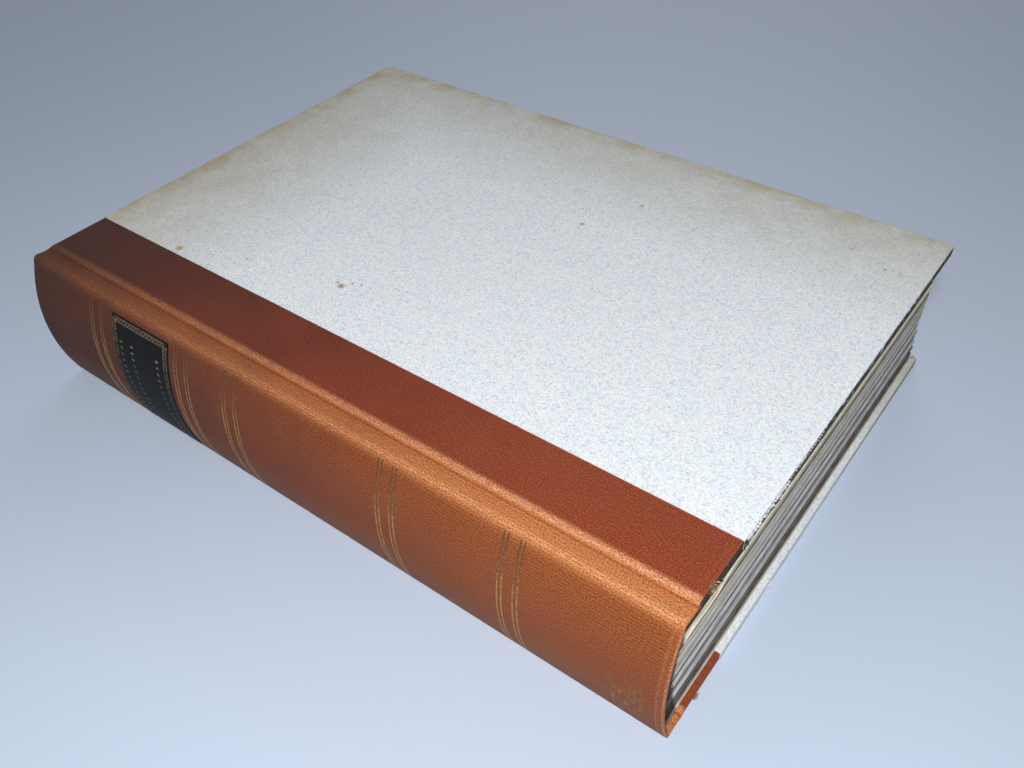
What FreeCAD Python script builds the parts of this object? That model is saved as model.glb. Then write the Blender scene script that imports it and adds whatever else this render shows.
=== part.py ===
import FreeCAD, Part
import math
import os

# A hardback book bound in quarter cloth, lying on its back cover with the front cover up.
# X runs along the spine from head to tail, Y from the spine to the fore edge, Z from back to front.
# The origin is under the middle of the book, on the surface that it lies on. Sizes are millimetres.

# Overall sizes
board_height = 240.0        # head to tail over the covered boards
board_width = 165.2         # spine edge to fore edge of one covered board
book_thickness = 49.6       # outside of the back cover to outside of the front cover
corner_radius = 2.5         # fore-edge corners of the covered boards

# Covers
cover_thickness = 3.4       # board with its paper on both faces
paper_thickness = 0.2       # side paper
cloth_thickness = 0.35      # book cloth, on the boards and on the spine
cloth_reach = 20.2          # cloth that shows on each board, from its spine edge
lap_width = 3.0             # cloth hidden under the side paper
turn_in = 15.0              # cloth and paper folded to the inside of the board
pastedown_thickness = 0.15  # endpaper over the turned-in edges
pastedown_border = 2.5      # board edge left showing around the endpaper
page_gap = 0.1              # air between the endpaper and the first leaf

# Pages
square = 2.0                # cover that stands past the pages at head and tail
fore_square = 3.0           # cover that stands past the first leaf at the fore edge
leaf_thickness = 0.2        # free leaf of the endpapers

# Joint between a board and the spine
joint_gap = 0.25            # cloth of the joint to the board's spine edge
hinge_back = 3.0            # hinge line behind the board's spine edge
hinge_lift = 0.15           # hinge line above the outside of the cover
groove_radius = 4.0         # hollow of the joint
ridge_radius = 1.6          # outside of the ridge where the joint meets the spine
ridge_drop = 0.5            # ridge below the outside of the cover
ridge_back = 5.93           # middle of the ridge behind the board's spine edge
shoulder_drop = 2.2         # backed shoulder of the pages below the outside of the cover
shoulder_gap = 0.4          # shoulder to the board's spine edge

# Spine
spine_bulge = 12.3          # rounded back behind the boards' spine edges
inlay_thickness = 0.8       # card that stiffens the back
inlay_end_gap = 1.2         # card to the ridge, measured across the book
hollow_gap = 0.8            # air between the cover's back and the pages' lining
lining_thickness = 0.3      # paper glued over the mull
lining_margin = 6.0         # pages left bare past the lining at head and tail
glue_gap = 0.1              # glue between the lining and the mull
mull_thickness = 0.3        # open cloth on the pages' back
mull_length = 200.0
mull_reach = 28.0           # mull glued inside each board
mull_board_thickness = 0.15 # the same mull, pressed flat inside the board

# Sewing tapes
tape_count = 3
tape_width = 12.0
tape_spacing = 70.0
tape_thickness = 0.3
slip_reach = 25.0           # tape ends glued inside each board

# Title label and gilt lines on the back
label_start = -78.0         # head side of the label along the spine
label_length = 27.0
label_end_gap = 1.7         # label to the ridge, measured across the book
label_thickness = 0.3
gilt_thickness = 0.06
border_margin = 0.6         # leather outside the gilt border
border_width = 1.6
fillet_centres = [-86.3, -45.6, -24.4, 35.4, 75.5]
fillet_pair_spacing = 4.8   # middle of one double line to the middle of the next
fillet_line_spacing = 1.3   # between the two lines of a pair
fillet_width = 0.45
fillet_end_gap = 0.1        # gilt lines to the ridge, measured across the book

# Places worked out from the sizes
half_height = board_height / 2
middle_z = book_thickness / 2
total_depth = board_width + spine_bulge + label_thickness + gilt_thickness
fore_y = total_depth / 2
board_y = fore_y - board_width
crest_y = board_y - spine_bulge
shoulder_y = board_y - shoulder_gap
joint_end_y = board_y - joint_gap
hinge_y = board_y - hinge_back
lap_y = board_y + cloth_reach
leaf_fore_y = fore_y - fore_square
page_half_length = half_height - square
page_half = middle_z - cover_thickness - pastedown_thickness - page_gap - leaf_thickness
shoulder_half = middle_z - shoulder_drop

# Middle of each ridge, and the round of the back that runs into both ridges smoothly
ridge_y = board_y - ridge_back
ridge_z = middle_z - ridge_drop - ridge_radius
ridge_front = ridge_y - crest_y
spine_radius = (ridge_front ** 2 + ridge_z ** 2 - ridge_radius ** 2) / (2 * (ridge_front - ridge_radius))
spine_centre_y = crest_y + spine_radius
back_layer_half = ridge_z - inlay_end_gap
label_half = ridge_z - label_end_gap
fillet_half = ridge_z - fillet_end_gap

# Depth of each layer of the back, measured inwards from the outside of the cloth
inlay_depth = cloth_thickness
spine_turn_in_depth = inlay_depth + inlay_thickness
lining_depth = spine_turn_in_depth + cloth_thickness + hollow_gap
mull_depth = lining_depth + lining_thickness + glue_gap
page_depth = mull_depth + mull_thickness


def vec(y, z):
    return FreeCAD.Vector(0, y, middle_z + z)


def box(low, high):
    size = [b - a for a, b in zip(low, high)]
    return Part.makeBox(size[0], size[1], size[2], FreeCAD.Vector(low[0], low[1], low[2]))


def line(a, b):
    return Part.LineSegment(a, b).toShape()


def arc(a, b, c):
    return Part.Arc(a, b, c).toShape()


def extrude(edges, start, end):
    """Close a section of the book and draw it out along the spine from start to end."""
    face = Part.Face(Part.Wire(edges))
    face.translate(FreeCAD.Vector(start, 0, 0))
    return face.extrude(FreeCAD.Vector(end - start, 0, 0))


def to_back(shape):
    """The back cover's copy of a front cover's piece."""
    return shape.mirror(vec(0, 0), FreeCAD.Vector(0, 0, 1))


def back_y(depth, z):
    """Where the rounded back lies at a height from mid-thickness, at a depth under its outside."""
    radius = spine_radius - depth
    return spine_centre_y - math.sqrt(radius ** 2 - z ** 2)


def back_arc(depth, half):
    return arc(vec(back_y(depth, half), -half), vec(crest_y + depth, 0), vec(back_y(depth, half), half))


def curved_band(outer_depth, inner_depth, half, start, end):
    """A layer of the rounded back, between two depths."""
    outer_y = back_y(outer_depth, half)
    inner_y = back_y(inner_depth, half)
    edges = [back_arc(outer_depth, half), line(vec(outer_y, half), vec(inner_y, half)),
             back_arc(inner_depth, half), line(vec(inner_y, -half), vec(outer_y, -half))]
    return extrude(edges, start, end)


def shoulder_band(depth, thickness, half, start, end):
    """A layer that covers the rounded back and turns over the two shoulders."""
    outer_y = back_y(depth, half)
    inner_half = half - thickness
    inner_y = back_y(depth + thickness, inner_half)
    edges = [back_arc(depth, half),
             line(vec(outer_y, half), vec(shoulder_y, half)),
             line(vec(shoulder_y, half), vec(shoulder_y, inner_half)),
             line(vec(shoulder_y, inner_half), vec(inner_y, inner_half)),
             back_arc(depth + thickness, inner_half),
             line(vec(inner_y, -inner_half), vec(shoulder_y, -inner_half)),
             line(vec(shoulder_y, -inner_half), vec(shoulder_y, -half)),
             line(vec(shoulder_y, -half), vec(outer_y, -half))]
    return extrude(edges, start, end)


def spine_side(depth, side):
    """The cloth's outline from the rounded back over one ridge and down into the joint's groove."""
    groove_z = ridge_z + math.sqrt((ridge_radius + groove_radius) ** 2 - (hinge_y - ridge_y) ** 2)
    back_angle = math.atan2(ridge_z, ridge_y - spine_centre_y)
    groove_angle = math.atan2(groove_z - ridge_z, hinge_y - ridge_y)
    top_angle = (back_angle + groove_angle) / 2
    ridge = ridge_radius - depth
    groove = groove_radius + depth

    def on_ridge(angle):
        return ridge_y + ridge * math.cos(angle), ridge_z + ridge * math.sin(angle)

    def on_groove(y):
        return y, groove_z - math.sqrt(groove ** 2 - (y - hinge_y) ** 2)

    points = [on_ridge(back_angle), on_ridge(top_angle), on_ridge(groove_angle),
              on_groove(hinge_y), on_groove(joint_end_y)]
    return [vec(y, side * z) for y, z in points]


def spine_layer(outer_depth, inner_depth, start, end):
    """A layer of cloth over the rounded back, both ridges and both joints."""
    outer_top = spine_side(outer_depth, 1)
    outer_low = spine_side(outer_depth, -1)
    inner_top = spine_side(inner_depth, 1)
    inner_low = spine_side(inner_depth, -1)
    edges = [arc(outer_low[0], vec(crest_y + outer_depth, 0), outer_top[0]),
             arc(outer_top[0], outer_top[1], outer_top[2]),
             arc(outer_top[2], outer_top[3], outer_top[4]),
             line(outer_top[4], inner_top[4]),
             arc(inner_top[4], inner_top[3], inner_top[2]),
             arc(inner_top[2], inner_top[1], inner_top[0]),
             arc(inner_top[0], vec(crest_y + inner_depth, 0), inner_low[0]),
             arc(inner_low[0], inner_low[1], inner_low[2]),
             arc(inner_low[2], inner_low[3], inner_low[4]),
             line(inner_low[4], outer_low[4]),
             arc(outer_low[4], outer_low[3], outer_low[2]),
             arc(outer_low[2], outer_low[1], outer_low[0])]
    return extrude(edges, start, end)


def both_ends(make, length):
    """The same piece at the head and at the tail, made from a start and an end."""
    head = make(-half_height, -half_height + length)
    tail = make(half_height - length, half_height)
    return head.fuse(tail)


def spine_inlay():
    reach = half_height - cloth_thickness
    return curved_band(inlay_depth, spine_turn_in_depth, back_layer_half, -reach, reach)


def spine_cloth(inlay):
    cloth = spine_layer(0, cloth_thickness, -half_height, half_height)
    inside = spine_turn_in_depth + cloth_thickness
    folds = both_ends(lambda start, end: curved_band(inlay_depth, inside, back_layer_half, start, end),
                      turn_in)
    return cloth.fuse(folds).cut(inlay).removeSplitter()


def title_label():
    return curved_band(-label_thickness, 0, label_half, label_start, label_start + label_length)


def label_border():
    base = -label_thickness
    start = label_start + border_margin
    end = label_start + label_length - border_margin
    half = label_half - border_margin
    sheet = curved_band(base - gilt_thickness, base, half, start, end)
    window = curved_band(base - gilt_thickness, base, half - border_width, start + border_width,
                         end - border_width)
    return sheet.cut(window)


def gilt_fillets():
    lines = []
    for centre in fillet_centres:
        for pair in (-1, 1):
            for edge in (-1, 1):
                middle = centre + pair * fillet_pair_spacing / 2 + edge * fillet_line_spacing / 2
                lines.append(curved_band(-gilt_thickness, 0, fillet_half,
                                         middle - fillet_width / 2, middle + fillet_width / 2))
    return Part.makeCompound(lines)


def spine_lining():
    reach = page_half_length - lining_margin
    inside = lining_depth + lining_thickness
    return curved_band(lining_depth, inside, page_half, -reach, reach)


def mull():
    half = shoulder_half + mull_thickness
    return shoulder_band(mull_depth, mull_thickness, half, -mull_length / 2, mull_length / 2)


def tape_places():
    return [(i - (tape_count - 1) / 2) * tape_spacing for i in range(tape_count)]


def sewing_tapes():
    tapes = []
    for x in tape_places():
        tapes.append(shoulder_band(page_depth, tape_thickness, shoulder_half,
                                   x - tape_width / 2, x + tape_width / 2))
    return Part.makeCompound(tapes)


def page_block(tapes):
    """Leaves of one width: the round of the back comes out as a hollow at the fore edge."""
    back_end_y = back_y(page_depth, shoulder_half)
    leaf_width = leaf_fore_y - back_y(page_depth, page_half)
    fore_middle_y = crest_y + page_depth + leaf_width
    edges = [back_arc(page_depth, shoulder_half),
             line(vec(back_end_y, shoulder_half), vec(shoulder_y, shoulder_half)),
             line(vec(shoulder_y, shoulder_half), vec(shoulder_y, page_half)),
             line(vec(shoulder_y, page_half), vec(leaf_fore_y, page_half)),
             arc(vec(leaf_fore_y, page_half), vec(fore_middle_y, 0), vec(leaf_fore_y, -page_half)),
             line(vec(leaf_fore_y, -page_half), vec(shoulder_y, -page_half)),
             line(vec(shoulder_y, -page_half), vec(shoulder_y, -shoulder_half)),
             line(vec(shoulder_y, -shoulder_half), vec(back_end_y, -shoulder_half))]
    return extrude(edges, -page_half_length, page_half_length).cut(tapes)


def front_flyleaf():
    low = (-page_half_length, shoulder_y, middle_z + page_half)
    high = (page_half_length, leaf_fore_y, middle_z + page_half + leaf_thickness)
    return box(low, high)


def covered_board(inset):
    """The front cover's outline, with its two fore-edge corners rounded, inset from its outside."""
    reach = half_height - inset
    low_z = book_thickness - cover_thickness + inset
    high_z = book_thickness - inset
    shape = box((-reach, board_y, low_z), (reach, fore_y - inset, high_z))
    corners = []
    for edge in shape.Edges:
        upright = abs(edge.BoundBox.ZLength - (high_z - low_z)) < 1e-6
        at_fore = edge.BoundBox.YMin > fore_y - inset - 1e-6
        if upright and at_fore:
            corners.append(edge)
    return shape.makeFillet(corner_radius - inset, corners)


def inner_window(inset, y_start, y_end):
    """The part of a cover's inner face that the turned-in edges leave open."""
    reach = half_height - turn_in
    low_z = book_thickness - cover_thickness
    return box((-reach, y_start, low_z), (reach, y_end, low_z + cover_thickness / 2))


def side_paper():
    shell = covered_board(0).cut(covered_board(paper_thickness))
    lap = box((-half_height, board_y, 0), (half_height, lap_y, book_thickness))
    window = inner_window(0, board_y, fore_y - turn_in)
    return shell.cut(lap).cut(window)


def cloth_side():
    end_y = lap_y + lap_width
    outer = covered_board(paper_thickness)
    inner = covered_board(paper_thickness + cloth_thickness)
    beyond = box((-half_height, end_y, 0), (half_height, fore_y, book_thickness))
    window = inner_window(0, board_y, end_y)
    return outer.cut(inner).cut(beyond).cut(window)


def tape_slips():
    """Ends of the sewing tapes, pressed into the board's inner face."""
    low_z = book_thickness - cover_thickness + paper_thickness
    slips = []
    for x in tape_places():
        slips.append(box((x - tape_width / 2, board_y, low_z),
                         (x + tape_width / 2, board_y + slip_reach, low_z + tape_thickness)))
    return Part.makeCompound(slips)


def board(cloth, slips):
    return covered_board(paper_thickness).cut(cloth).cut(slips)


def mull_flange():
    high_z = book_thickness - cover_thickness + paper_thickness
    return box((-mull_length / 2, board_y, high_z - mull_board_thickness),
               (mull_length / 2, board_y + mull_reach, high_z))


def pastedown(paper, flange):
    """Endpaper over the turned-in edges, which fills in the window between them."""
    reach = half_height - pastedown_border
    high_z = book_thickness - cover_thickness + paper_thickness
    low_z = high_z - paper_thickness - pastedown_thickness
    sheet = box((-reach, board_y, low_z), (reach, fore_y - pastedown_border, high_z))
    return sheet.cut(paper).cut(flange)


def front_cover():
    paper = side_paper()
    cloth = cloth_side()
    slips = tape_slips()
    flange = mull_flange()
    return {
        "front_side_paper": paper,
        "front_cloth_side": cloth,
        "front_board": board(cloth, slips),
        "front_tape_slips": slips,
        "front_mull_flange": flange,
        "front_pastedown": pastedown(paper, flange),
    }


def book():
    inlay = spine_inlay()
    tapes = sewing_tapes()
    leaf = front_flyleaf()
    parts = {
        "page_block": page_block(tapes),
        "front_flyleaf": leaf,
        "back_flyleaf": to_back(leaf),
        "sewing_tapes": tapes,
        "mull": mull(),
        "spine_lining": spine_lining(),
        "spine_inlay": inlay,
        "spine_cloth": spine_cloth(inlay),
        "title_label": title_label(),
        "label_border": label_border(),
        "gilt_fillets": gilt_fillets(),
    }
    for name, piece in front_cover().items():
        parts[name] = piece
        parts[name.replace("front", "back", 1)] = to_back(piece)
    return parts


os.makedirs("parts", exist_ok=True)
for node, solid in book().items():
    solid.exportStep("parts/" + node + ".step")
    sizes = solid.BoundBox
    print(node, solid.isValid(), len(solid.Solids), round(solid.Volume, 1),
          [round(v, 2) for v in (sizes.XMin, sizes.XMax, sizes.YMin, sizes.YMax, sizes.ZMin, sizes.ZMax)])
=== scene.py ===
import math

import bmesh
import bpy
import numpy as np
from mathutils import Matrix, Vector, noise


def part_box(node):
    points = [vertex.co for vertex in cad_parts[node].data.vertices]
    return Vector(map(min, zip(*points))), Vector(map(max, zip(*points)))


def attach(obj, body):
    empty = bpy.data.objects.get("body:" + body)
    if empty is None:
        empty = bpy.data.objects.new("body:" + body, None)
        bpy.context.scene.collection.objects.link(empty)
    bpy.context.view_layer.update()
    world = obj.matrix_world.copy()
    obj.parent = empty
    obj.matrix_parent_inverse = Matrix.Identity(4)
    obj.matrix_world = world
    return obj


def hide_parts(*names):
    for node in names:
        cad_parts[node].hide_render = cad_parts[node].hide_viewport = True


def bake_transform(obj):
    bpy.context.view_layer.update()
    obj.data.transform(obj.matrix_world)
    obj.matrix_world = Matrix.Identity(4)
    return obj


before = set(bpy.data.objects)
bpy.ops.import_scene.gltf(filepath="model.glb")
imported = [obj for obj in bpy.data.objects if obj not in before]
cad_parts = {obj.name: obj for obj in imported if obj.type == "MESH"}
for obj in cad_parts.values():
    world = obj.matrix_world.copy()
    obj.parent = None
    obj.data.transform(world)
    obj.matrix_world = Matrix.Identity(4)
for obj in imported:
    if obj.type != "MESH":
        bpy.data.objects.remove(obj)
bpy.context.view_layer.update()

bpy.context.scene.view_settings.view_transform = "Standard"

# The leaves: rag paper leaves of one width, sewn in sections and backed, so that the round of the back comes
# out again as a hollow at the fore edge. Each leaf is a thin slab, a little out of line with its neighbours,
# and near the back the leaves fan out to the two shoulders that the boards sit against.
MM = 0.001
LEAF_COUNT = 176
LEAF_JITTER = 0.25          # how far a leaf stands out of line at head and tail
QUIRE_LEAVES = 3            # leaves that stand out of line together
QUIRE_JITTER = 0.4
THIN_LEAF = 0.55            # the thinnest leaf against its share of the stack, so that dark gaps show
PROUD_Z = (36.0, 37.3)      # a few leaves that stand out at the tail beside the back
PROUD_Y = (-62.0, -55.0)
PROUD = 0.7
TAPE_DEPTH = 0.35           # the tapes lie between the leaves' backs and the mull
FAN_REACH = 3.0             # the leaves spread to the shoulders over this far
LEAF_WAVE = 0.25            # how far the leaves wave out of flat, but for the outermost ones
WAVE_LENGTH = 55.0
FLAT_DEPTH = 4.0            # the waves die out over this depth under both covers
BACK_SHADE_DEPTH = 5.4               # the leaves' edges are painted dark as shade this near the back
BACK_SHADE_FADE = 1.8          # and that painted shade fades over this far


def span(node):
    """Lowest and highest corner of a CAD node, in millimetres."""
    low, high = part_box(node)
    return np.array(low) / MM, np.array(high) / MM


def srgb(code):
    """A hex colour as the linear colour that the shaders take."""
    parts = [int(code[i:i + 2], 16) / 255 for i in (1, 3, 5)]
    return tuple([p / 12.92 if p <= 0.04045 else ((p + 0.055) / 1.055) ** 2.4 for p in parts] + [1.0])


def fill(tree, node, inputs):
    """Sets or links a node's inputs, in order or by name. A node stands for its first output in use."""
    if isinstance(inputs, tuple):
        inputs = dict(enumerate(inputs))
    for key, value in inputs.items():
        if isinstance(value, bpy.types.Node):
            value = next(output for output in value.outputs if output.enabled)
        if isinstance(value, bpy.types.NodeSocket):
            tree.links.new(value, node.inputs[key])
        else:
            node.inputs[key].default_value = value


def add(tree, kind, inputs=(), **settings):
    """Adds a node with its settings and its inputs."""
    node = tree.nodes.new(kind)
    for name, value in settings.items():
        setattr(node, name, value)
    fill(tree, node, inputs)
    return node


def overlap(tree, spans, **settings):
    """The share where several values all lie past their spans, each given as a value, a start and an end."""
    whole = None
    for span_inputs in spans:
        mask = add(tree, "ShaderNodeMapRange", span_inputs, **settings)
        whole = add(tree, "ShaderNodeMath", (whole, mask), operation="MULTIPLY") if whole else mask
    return whole


def set_stops(ramp, stops):
    """Gives a colour ramp its places and hex colours."""
    elements = ramp.color_ramp.elements
    for place, code in stops[2:]:
        elements.new(place)
    for element, (place, code) in zip(elements, sorted(stops)):
        element.position = place
        element.color = srgb(code)


def new_material(name, roughness, **sockets):
    """A material, its tree and its shader, with the values that are the same all over."""
    material = bpy.data.materials.new(name)
    material.use_nodes = True
    tree = material.node_tree
    shader = tree.nodes["Principled BSDF"]
    shader.inputs["Roughness"].default_value = roughness
    for socket, value in sockets.items():
        shader.inputs[socket.replace("_", " ")].default_value = value
    return material, tree, shader


def new_geometry(name, sizes):
    """A geometry tree with a named input for each size, and those inputs by name."""
    tree = bpy.data.node_groups.new(name, "GeometryNodeTree")
    for size, value in sizes.items():
        kind = "NodeSocketInt" if isinstance(value, int) else "NodeSocketFloat"
        tree.interface.new_socket(name=size, in_out="INPUT", socket_type=kind)
    tree.interface.new_socket(name="Mesh", in_out="OUTPUT", socket_type="NodeSocketGeometry")
    return tree, add(tree, "NodeGroupInput").outputs


def end_geometry(tree, result, material):
    """Realizes what a geometry tree makes and gives it its material."""
    whole = add(tree, "GeometryNodeRealizeInstances", {"Geometry": result})
    finished = add(tree, "GeometryNodeSetMaterial", {"Geometry": whole, "Material": material})
    add(tree, "NodeGroupOutput", {"Mesh": finished})


def show(name, data):
    """Puts a mesh, a lamp or the camera into the scene."""
    piece = bpy.data.objects.new(name, data)
    bpy.context.scene.collection.objects.link(piece)
    return piece


def run_geometry(name, tree, sizes):
    """A piece with the plain mesh that a geometry tree makes from its sizes."""
    piece = show(name, bpy.data.meshes.new(name))
    modifier = piece.modifiers.new("Geometry", "NODES")
    modifier.node_group = tree
    for item in tree.interface.items_tree:
        if item.in_out == "INPUT":
            modifier[item.identifier] = sizes[item.name]
    bpy.context.view_layer.update()
    evaluated = piece.evaluated_get(bpy.context.evaluated_depsgraph_get())
    mesh = bpy.data.meshes.new_from_object(evaluated)
    piece.modifiers.clear()
    piece.data = mesh
    return piece


page_low, page_high = span("page_block")
leaf_low, leaf_high = span("front_flyleaf")
cloth_low, cloth_high = span("spine_cloth")
middle_z = (page_low[2] + page_high[2]) / 2
shoulder_y = leaf_low[1]
page_half = leaf_low[2] - middle_z
shoulder_half = page_high[2] - middle_z
crest_y = cloth_low[1]
BACK_RADIUS = 58.0          # round of the back, outside of the cloth
round_y = crest_y + BACK_RADIUS
leaf_round = round_y - page_low[1] - TAPE_DEPTH
leaf_chord = math.sqrt(leaf_round ** 2 - page_half ** 2)
leaf_back_y = round_y - leaf_chord

# Cut edges of rag paper: grey-cream and matte, each leaf a little lighter or darker than the next. A pair of
# leaves just under mid-thickness is painted bright as a highlight where they stand out, and a cream section
# lies three quarters up; the dark lines between sections, between the bright pair and on both sides of the
# cream section are painted shade of the gaps.
leaf_edges, tree, shader = new_material("cut_rag_paper", 0.9, IOR=1.45)
place = add(tree, "ShaderNodeTexCoord").outputs["Object"]
where = add(tree, "ShaderNodeSeparateXYZ", {0: place}).outputs
level = add(tree, "ShaderNodeMapRange", (where["Z"], page_low[2] * MM, page_high[2] * MM))
sections = add(tree, "ShaderNodeValToRGB", {"Fac": level})
# The darkest stops are painted shade of the gaps between leaves, and the two near-white stops a painted
# highlight
set_stops(sections, [(0.0, "#F4EEDC"), (0.035, "#F4EEDC"), (0.05, "#9A9484"), (0.15, "#B4B0A6"),
                     (0.222, "#57534C"), (0.24, "#E8E6E4"), (0.262, "#B4B2B4"), (0.42, "#C4C2C4"),
                     (0.445, "#FFFDF8"), (0.462, "#2E2C28"), (0.475, "#FFFCF4"), (0.495, "#B0AEAA"),
                     (0.70, "#B0ADA4"), (0.738, "#6C685C"), (0.75, "#E6DFC6"), (0.778, "#EAE3CA"),
                     (0.79, "#5A564A"), (0.9, "#A29E90"), (1.0, "#AAA596")])
leaf = add(tree, "ShaderNodeAttribute", attribute_name="leaf_tone").outputs["Fac"]
streaks = add(tree, "ShaderNodeMapping", {"Vector": place, "Scale": (1, 0.08, 1)})
grain = add(tree, "ShaderNodeTexNoise", {"Vector": streaks, "Scale": 1 / (0.4 * MM), "Detail": 2})
tone = add(tree, "ShaderNodeMath", (grain, 0.6, leaf), operation="MULTIPLY_ADD")
shade = add(tree, "ShaderNodeMapRange", (tone, 0.42, 1.2, 0.1, 1.25))
# Painted shade: the leaves' edges are darkened beside the back
from_round = add(tree, "ShaderNodeVectorMath", (place, (0, round_y * MM, middle_z * MM)),
                 operation="SUBTRACT")
upright = add(tree, "ShaderNodeVectorMath", (from_round, (0, 1, 1)), operation="MULTIPLY")
depth = add(tree, "ShaderNodeVectorMath", {0: upright}, operation="LENGTH")
back_shade = add(tree, "ShaderNodeMapRange",
              (depth, (leaf_round - BACK_SHADE_DEPTH) * MM, (leaf_round - BACK_SHADE_DEPTH + BACK_SHADE_FADE) * MM, 1.0, 0.12),
              interpolation_type="SMOOTHSTEP")
at_back = add(tree, "ShaderNodeMapRange", (where["Y"], round_y * MM, (round_y - 2) * MM))
beside_back = add(tree, "ShaderNodeMix", {0: at_back, 2: 1.0, 3: back_shade})
dulled = add(tree, "ShaderNodeMath", (shade, beside_back), operation="MULTIPLY")
toned = add(tree, "ShaderNodeVectorMath", {0: sections, "Scale": dulled}, operation="SCALE")
bump = add(tree, "ShaderNodeBump", {"Height": grain, "Strength": 0.5, "Distance": 0.1 * MM})
fill(tree, shader, {"Base Color": toned, "Normal": bump})

leaf_sizes = {
    "Leaves": LEAF_COUNT,
    "Length": 2 * page_high[0] * MM,
    "Width": (leaf_high[1] - leaf_back_y) * MM,
    "Leaf": 2 * page_half / LEAF_COUNT * MM,
    "Jitter": LEAF_JITTER * MM,
    "Quire": QUIRE_LEAVES,
    "Quire Jitter": QUIRE_JITTER * MM,
    "Thinnest": THIN_LEAF,
    "Back": leaf_back_y * MM,
    "Round": leaf_round * MM,
    "Chord": leaf_chord * MM,
    "Shoulder": shoulder_y * MM,
    "Fan": (shoulder_y - FAN_REACH) * MM,
    "Spread": shoulder_half / page_half,
    "Middle": middle_z * MM,
}
tree, size = new_geometry("leaves", leaf_sizes)
slab_size = add(tree, "ShaderNodeCombineXYZ", (size["Length"], 1.0, size["Leaf"]))
slab = add(tree, "GeometryNodeMeshCube", {"Size": slab_size, "Vertices X": 6, "Vertices Y": 15})
step = add(tree, "ShaderNodeCombineXYZ", (0, 0, size["Leaf"]))
stack = add(tree, "GeometryNodeMeshLine", {"Count": size["Leaves"], "Offset": step})
lines_up = add(tree, "ShaderNodeVectorMath", {0: (-1, -0.5, 0), "Scale": size["Jitter"]}, operation="SCALE")
lines_out = add(tree, "ShaderNodeVectorMath", {0: (1, 0.5, 0), "Scale": size["Jitter"]}, operation="SCALE")
shift = add(tree, "FunctionNodeRandomValue", {0: lines_up, 1: lines_out, "Seed": 4}, data_type="FLOAT_VECTOR")
thinnest = add(tree, "ShaderNodeCombineXYZ", (1.0, 1.0, size["Thinnest"]))
thickness = add(tree, "FunctionNodeRandomValue", {0: thinnest, 1: (1.0, 1.0, 1.0), "Seed": 2},
                data_type="FLOAT_VECTOR")
leaves = add(tree, "GeometryNodeInstanceOnPoints", {"Points": stack, "Instance": slab, "Scale": thickness})
order = add(tree, "ShaderNodeMath", (add(tree, "GeometryNodeInputIndex"), size["Quire"]), operation="DIVIDE")
quire = add(tree, "ShaderNodeMath", {0: order}, operation="FLOOR")
quires_in = add(tree, "ShaderNodeVectorMath", {0: (-1, -0.15, 0), "Scale": size["Quire Jitter"]},
                operation="SCALE")
quires_out = add(tree, "ShaderNodeVectorMath", {0: (0.6, 0.15, 0), "Scale": size["Quire Jitter"]},
                 operation="SCALE")
quire_shift = add(tree, "FunctionNodeRandomValue", {0: quires_in, 1: quires_out, "ID": quire, "Seed": 6},
                  data_type="FLOAT_VECTOR")
out_of_line = add(tree, "ShaderNodeVectorMath", (shift, quire_shift))
loose = add(tree, "GeometryNodeTranslateInstances", {"Instances": leaves, "Translation": out_of_line})
random_tone = add(tree, "FunctionNodeRandomValue", {2: 0.0, 3: 0.3, "Seed": 9}, data_type="FLOAT")
quire_tone = add(tree, "FunctionNodeRandomValue", {2: 0.0, 3: 0.7, "ID": quire, "Seed": 12},
                 data_type="FLOAT")
leaf_tone = add(tree, "ShaderNodeMath", (random_tone, quire_tone), operation="ADD")
marked = add(tree, "GeometryNodeStoreNamedAttribute",
             {"Geometry": loose, "Name": "leaf_tone", "Value": leaf_tone},
             data_type="FLOAT", domain="INSTANCE")
whole = add(tree, "GeometryNodeRealizeInstances", {"Geometry": marked})
at = add(tree, "ShaderNodeSeparateXYZ", {0: add(tree, "GeometryNodeInputPosition")}).outputs
# The slab is one metre wide at first, so its own Y gives the share of the way from the back to the fore edge
share = add(tree, "ShaderNodeMath", (at["Y"], 0.5), operation="ADD", use_clamp=True)
crowded = add(tree, "ShaderNodeMath", (share, 1.7), operation="POWER")
across = add(tree, "ShaderNodeMath", (crowded, size["Width"], size["Back"]), operation="MULTIPLY_ADD")
half_stack = add(tree, "ShaderNodeMath", (size["Leaves"], size["Leaf"]), operation="MULTIPLY")
centred = add(tree, "ShaderNodeMath", (half_stack, -0.5, at["Z"]), operation="MULTIPLY_ADD")
waves = add(tree, "ShaderNodeTexNoise", {"Scale": 1 / (WAVE_LENGTH * MM), "Detail": 1})
lift = add(tree, "ShaderNodeMapRange", (waves, 0, 1, -LEAF_WAVE * MM, LEAF_WAVE * MM))
from_middle = add(tree, "ShaderNodeMath", {0: centred}, operation="ABSOLUTE")
edge_free = add(tree, "ShaderNodeMapRange",
                (from_middle, (page_half - FLAT_DEPTH) * MM, page_half * MM, 1.0, 0.0))
wavy = add(tree, "ShaderNodeMath", (lift, edge_free, centred), operation="MULTIPLY_ADD")
square = add(tree, "ShaderNodeMath", (wavy, wavy), operation="MULTIPLY")
round_square = add(tree, "ShaderNodeMath", (size["Round"], size["Round"]), operation="MULTIPLY")
inside = add(tree, "ShaderNodeMath", (round_square, square), operation="SUBTRACT")
chord = add(tree, "ShaderNodeMath", {0: inside}, operation="SQRT")
rounded = add(tree, "ShaderNodeMath", (size["Chord"], chord), operation="SUBTRACT")
backed = add(tree, "ShaderNodeMath", (across, rounded), operation="ADD")
fan = add(tree, "ShaderNodeMapRange", (backed, size["Shoulder"], size["Fan"], 1.0, size["Spread"]),
          interpolation_type="SMOOTHSTEP")
fanned = add(tree, "ShaderNodeMath", (wavy, fan, size["Middle"]), operation="MULTIPLY_ADD")
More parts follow.
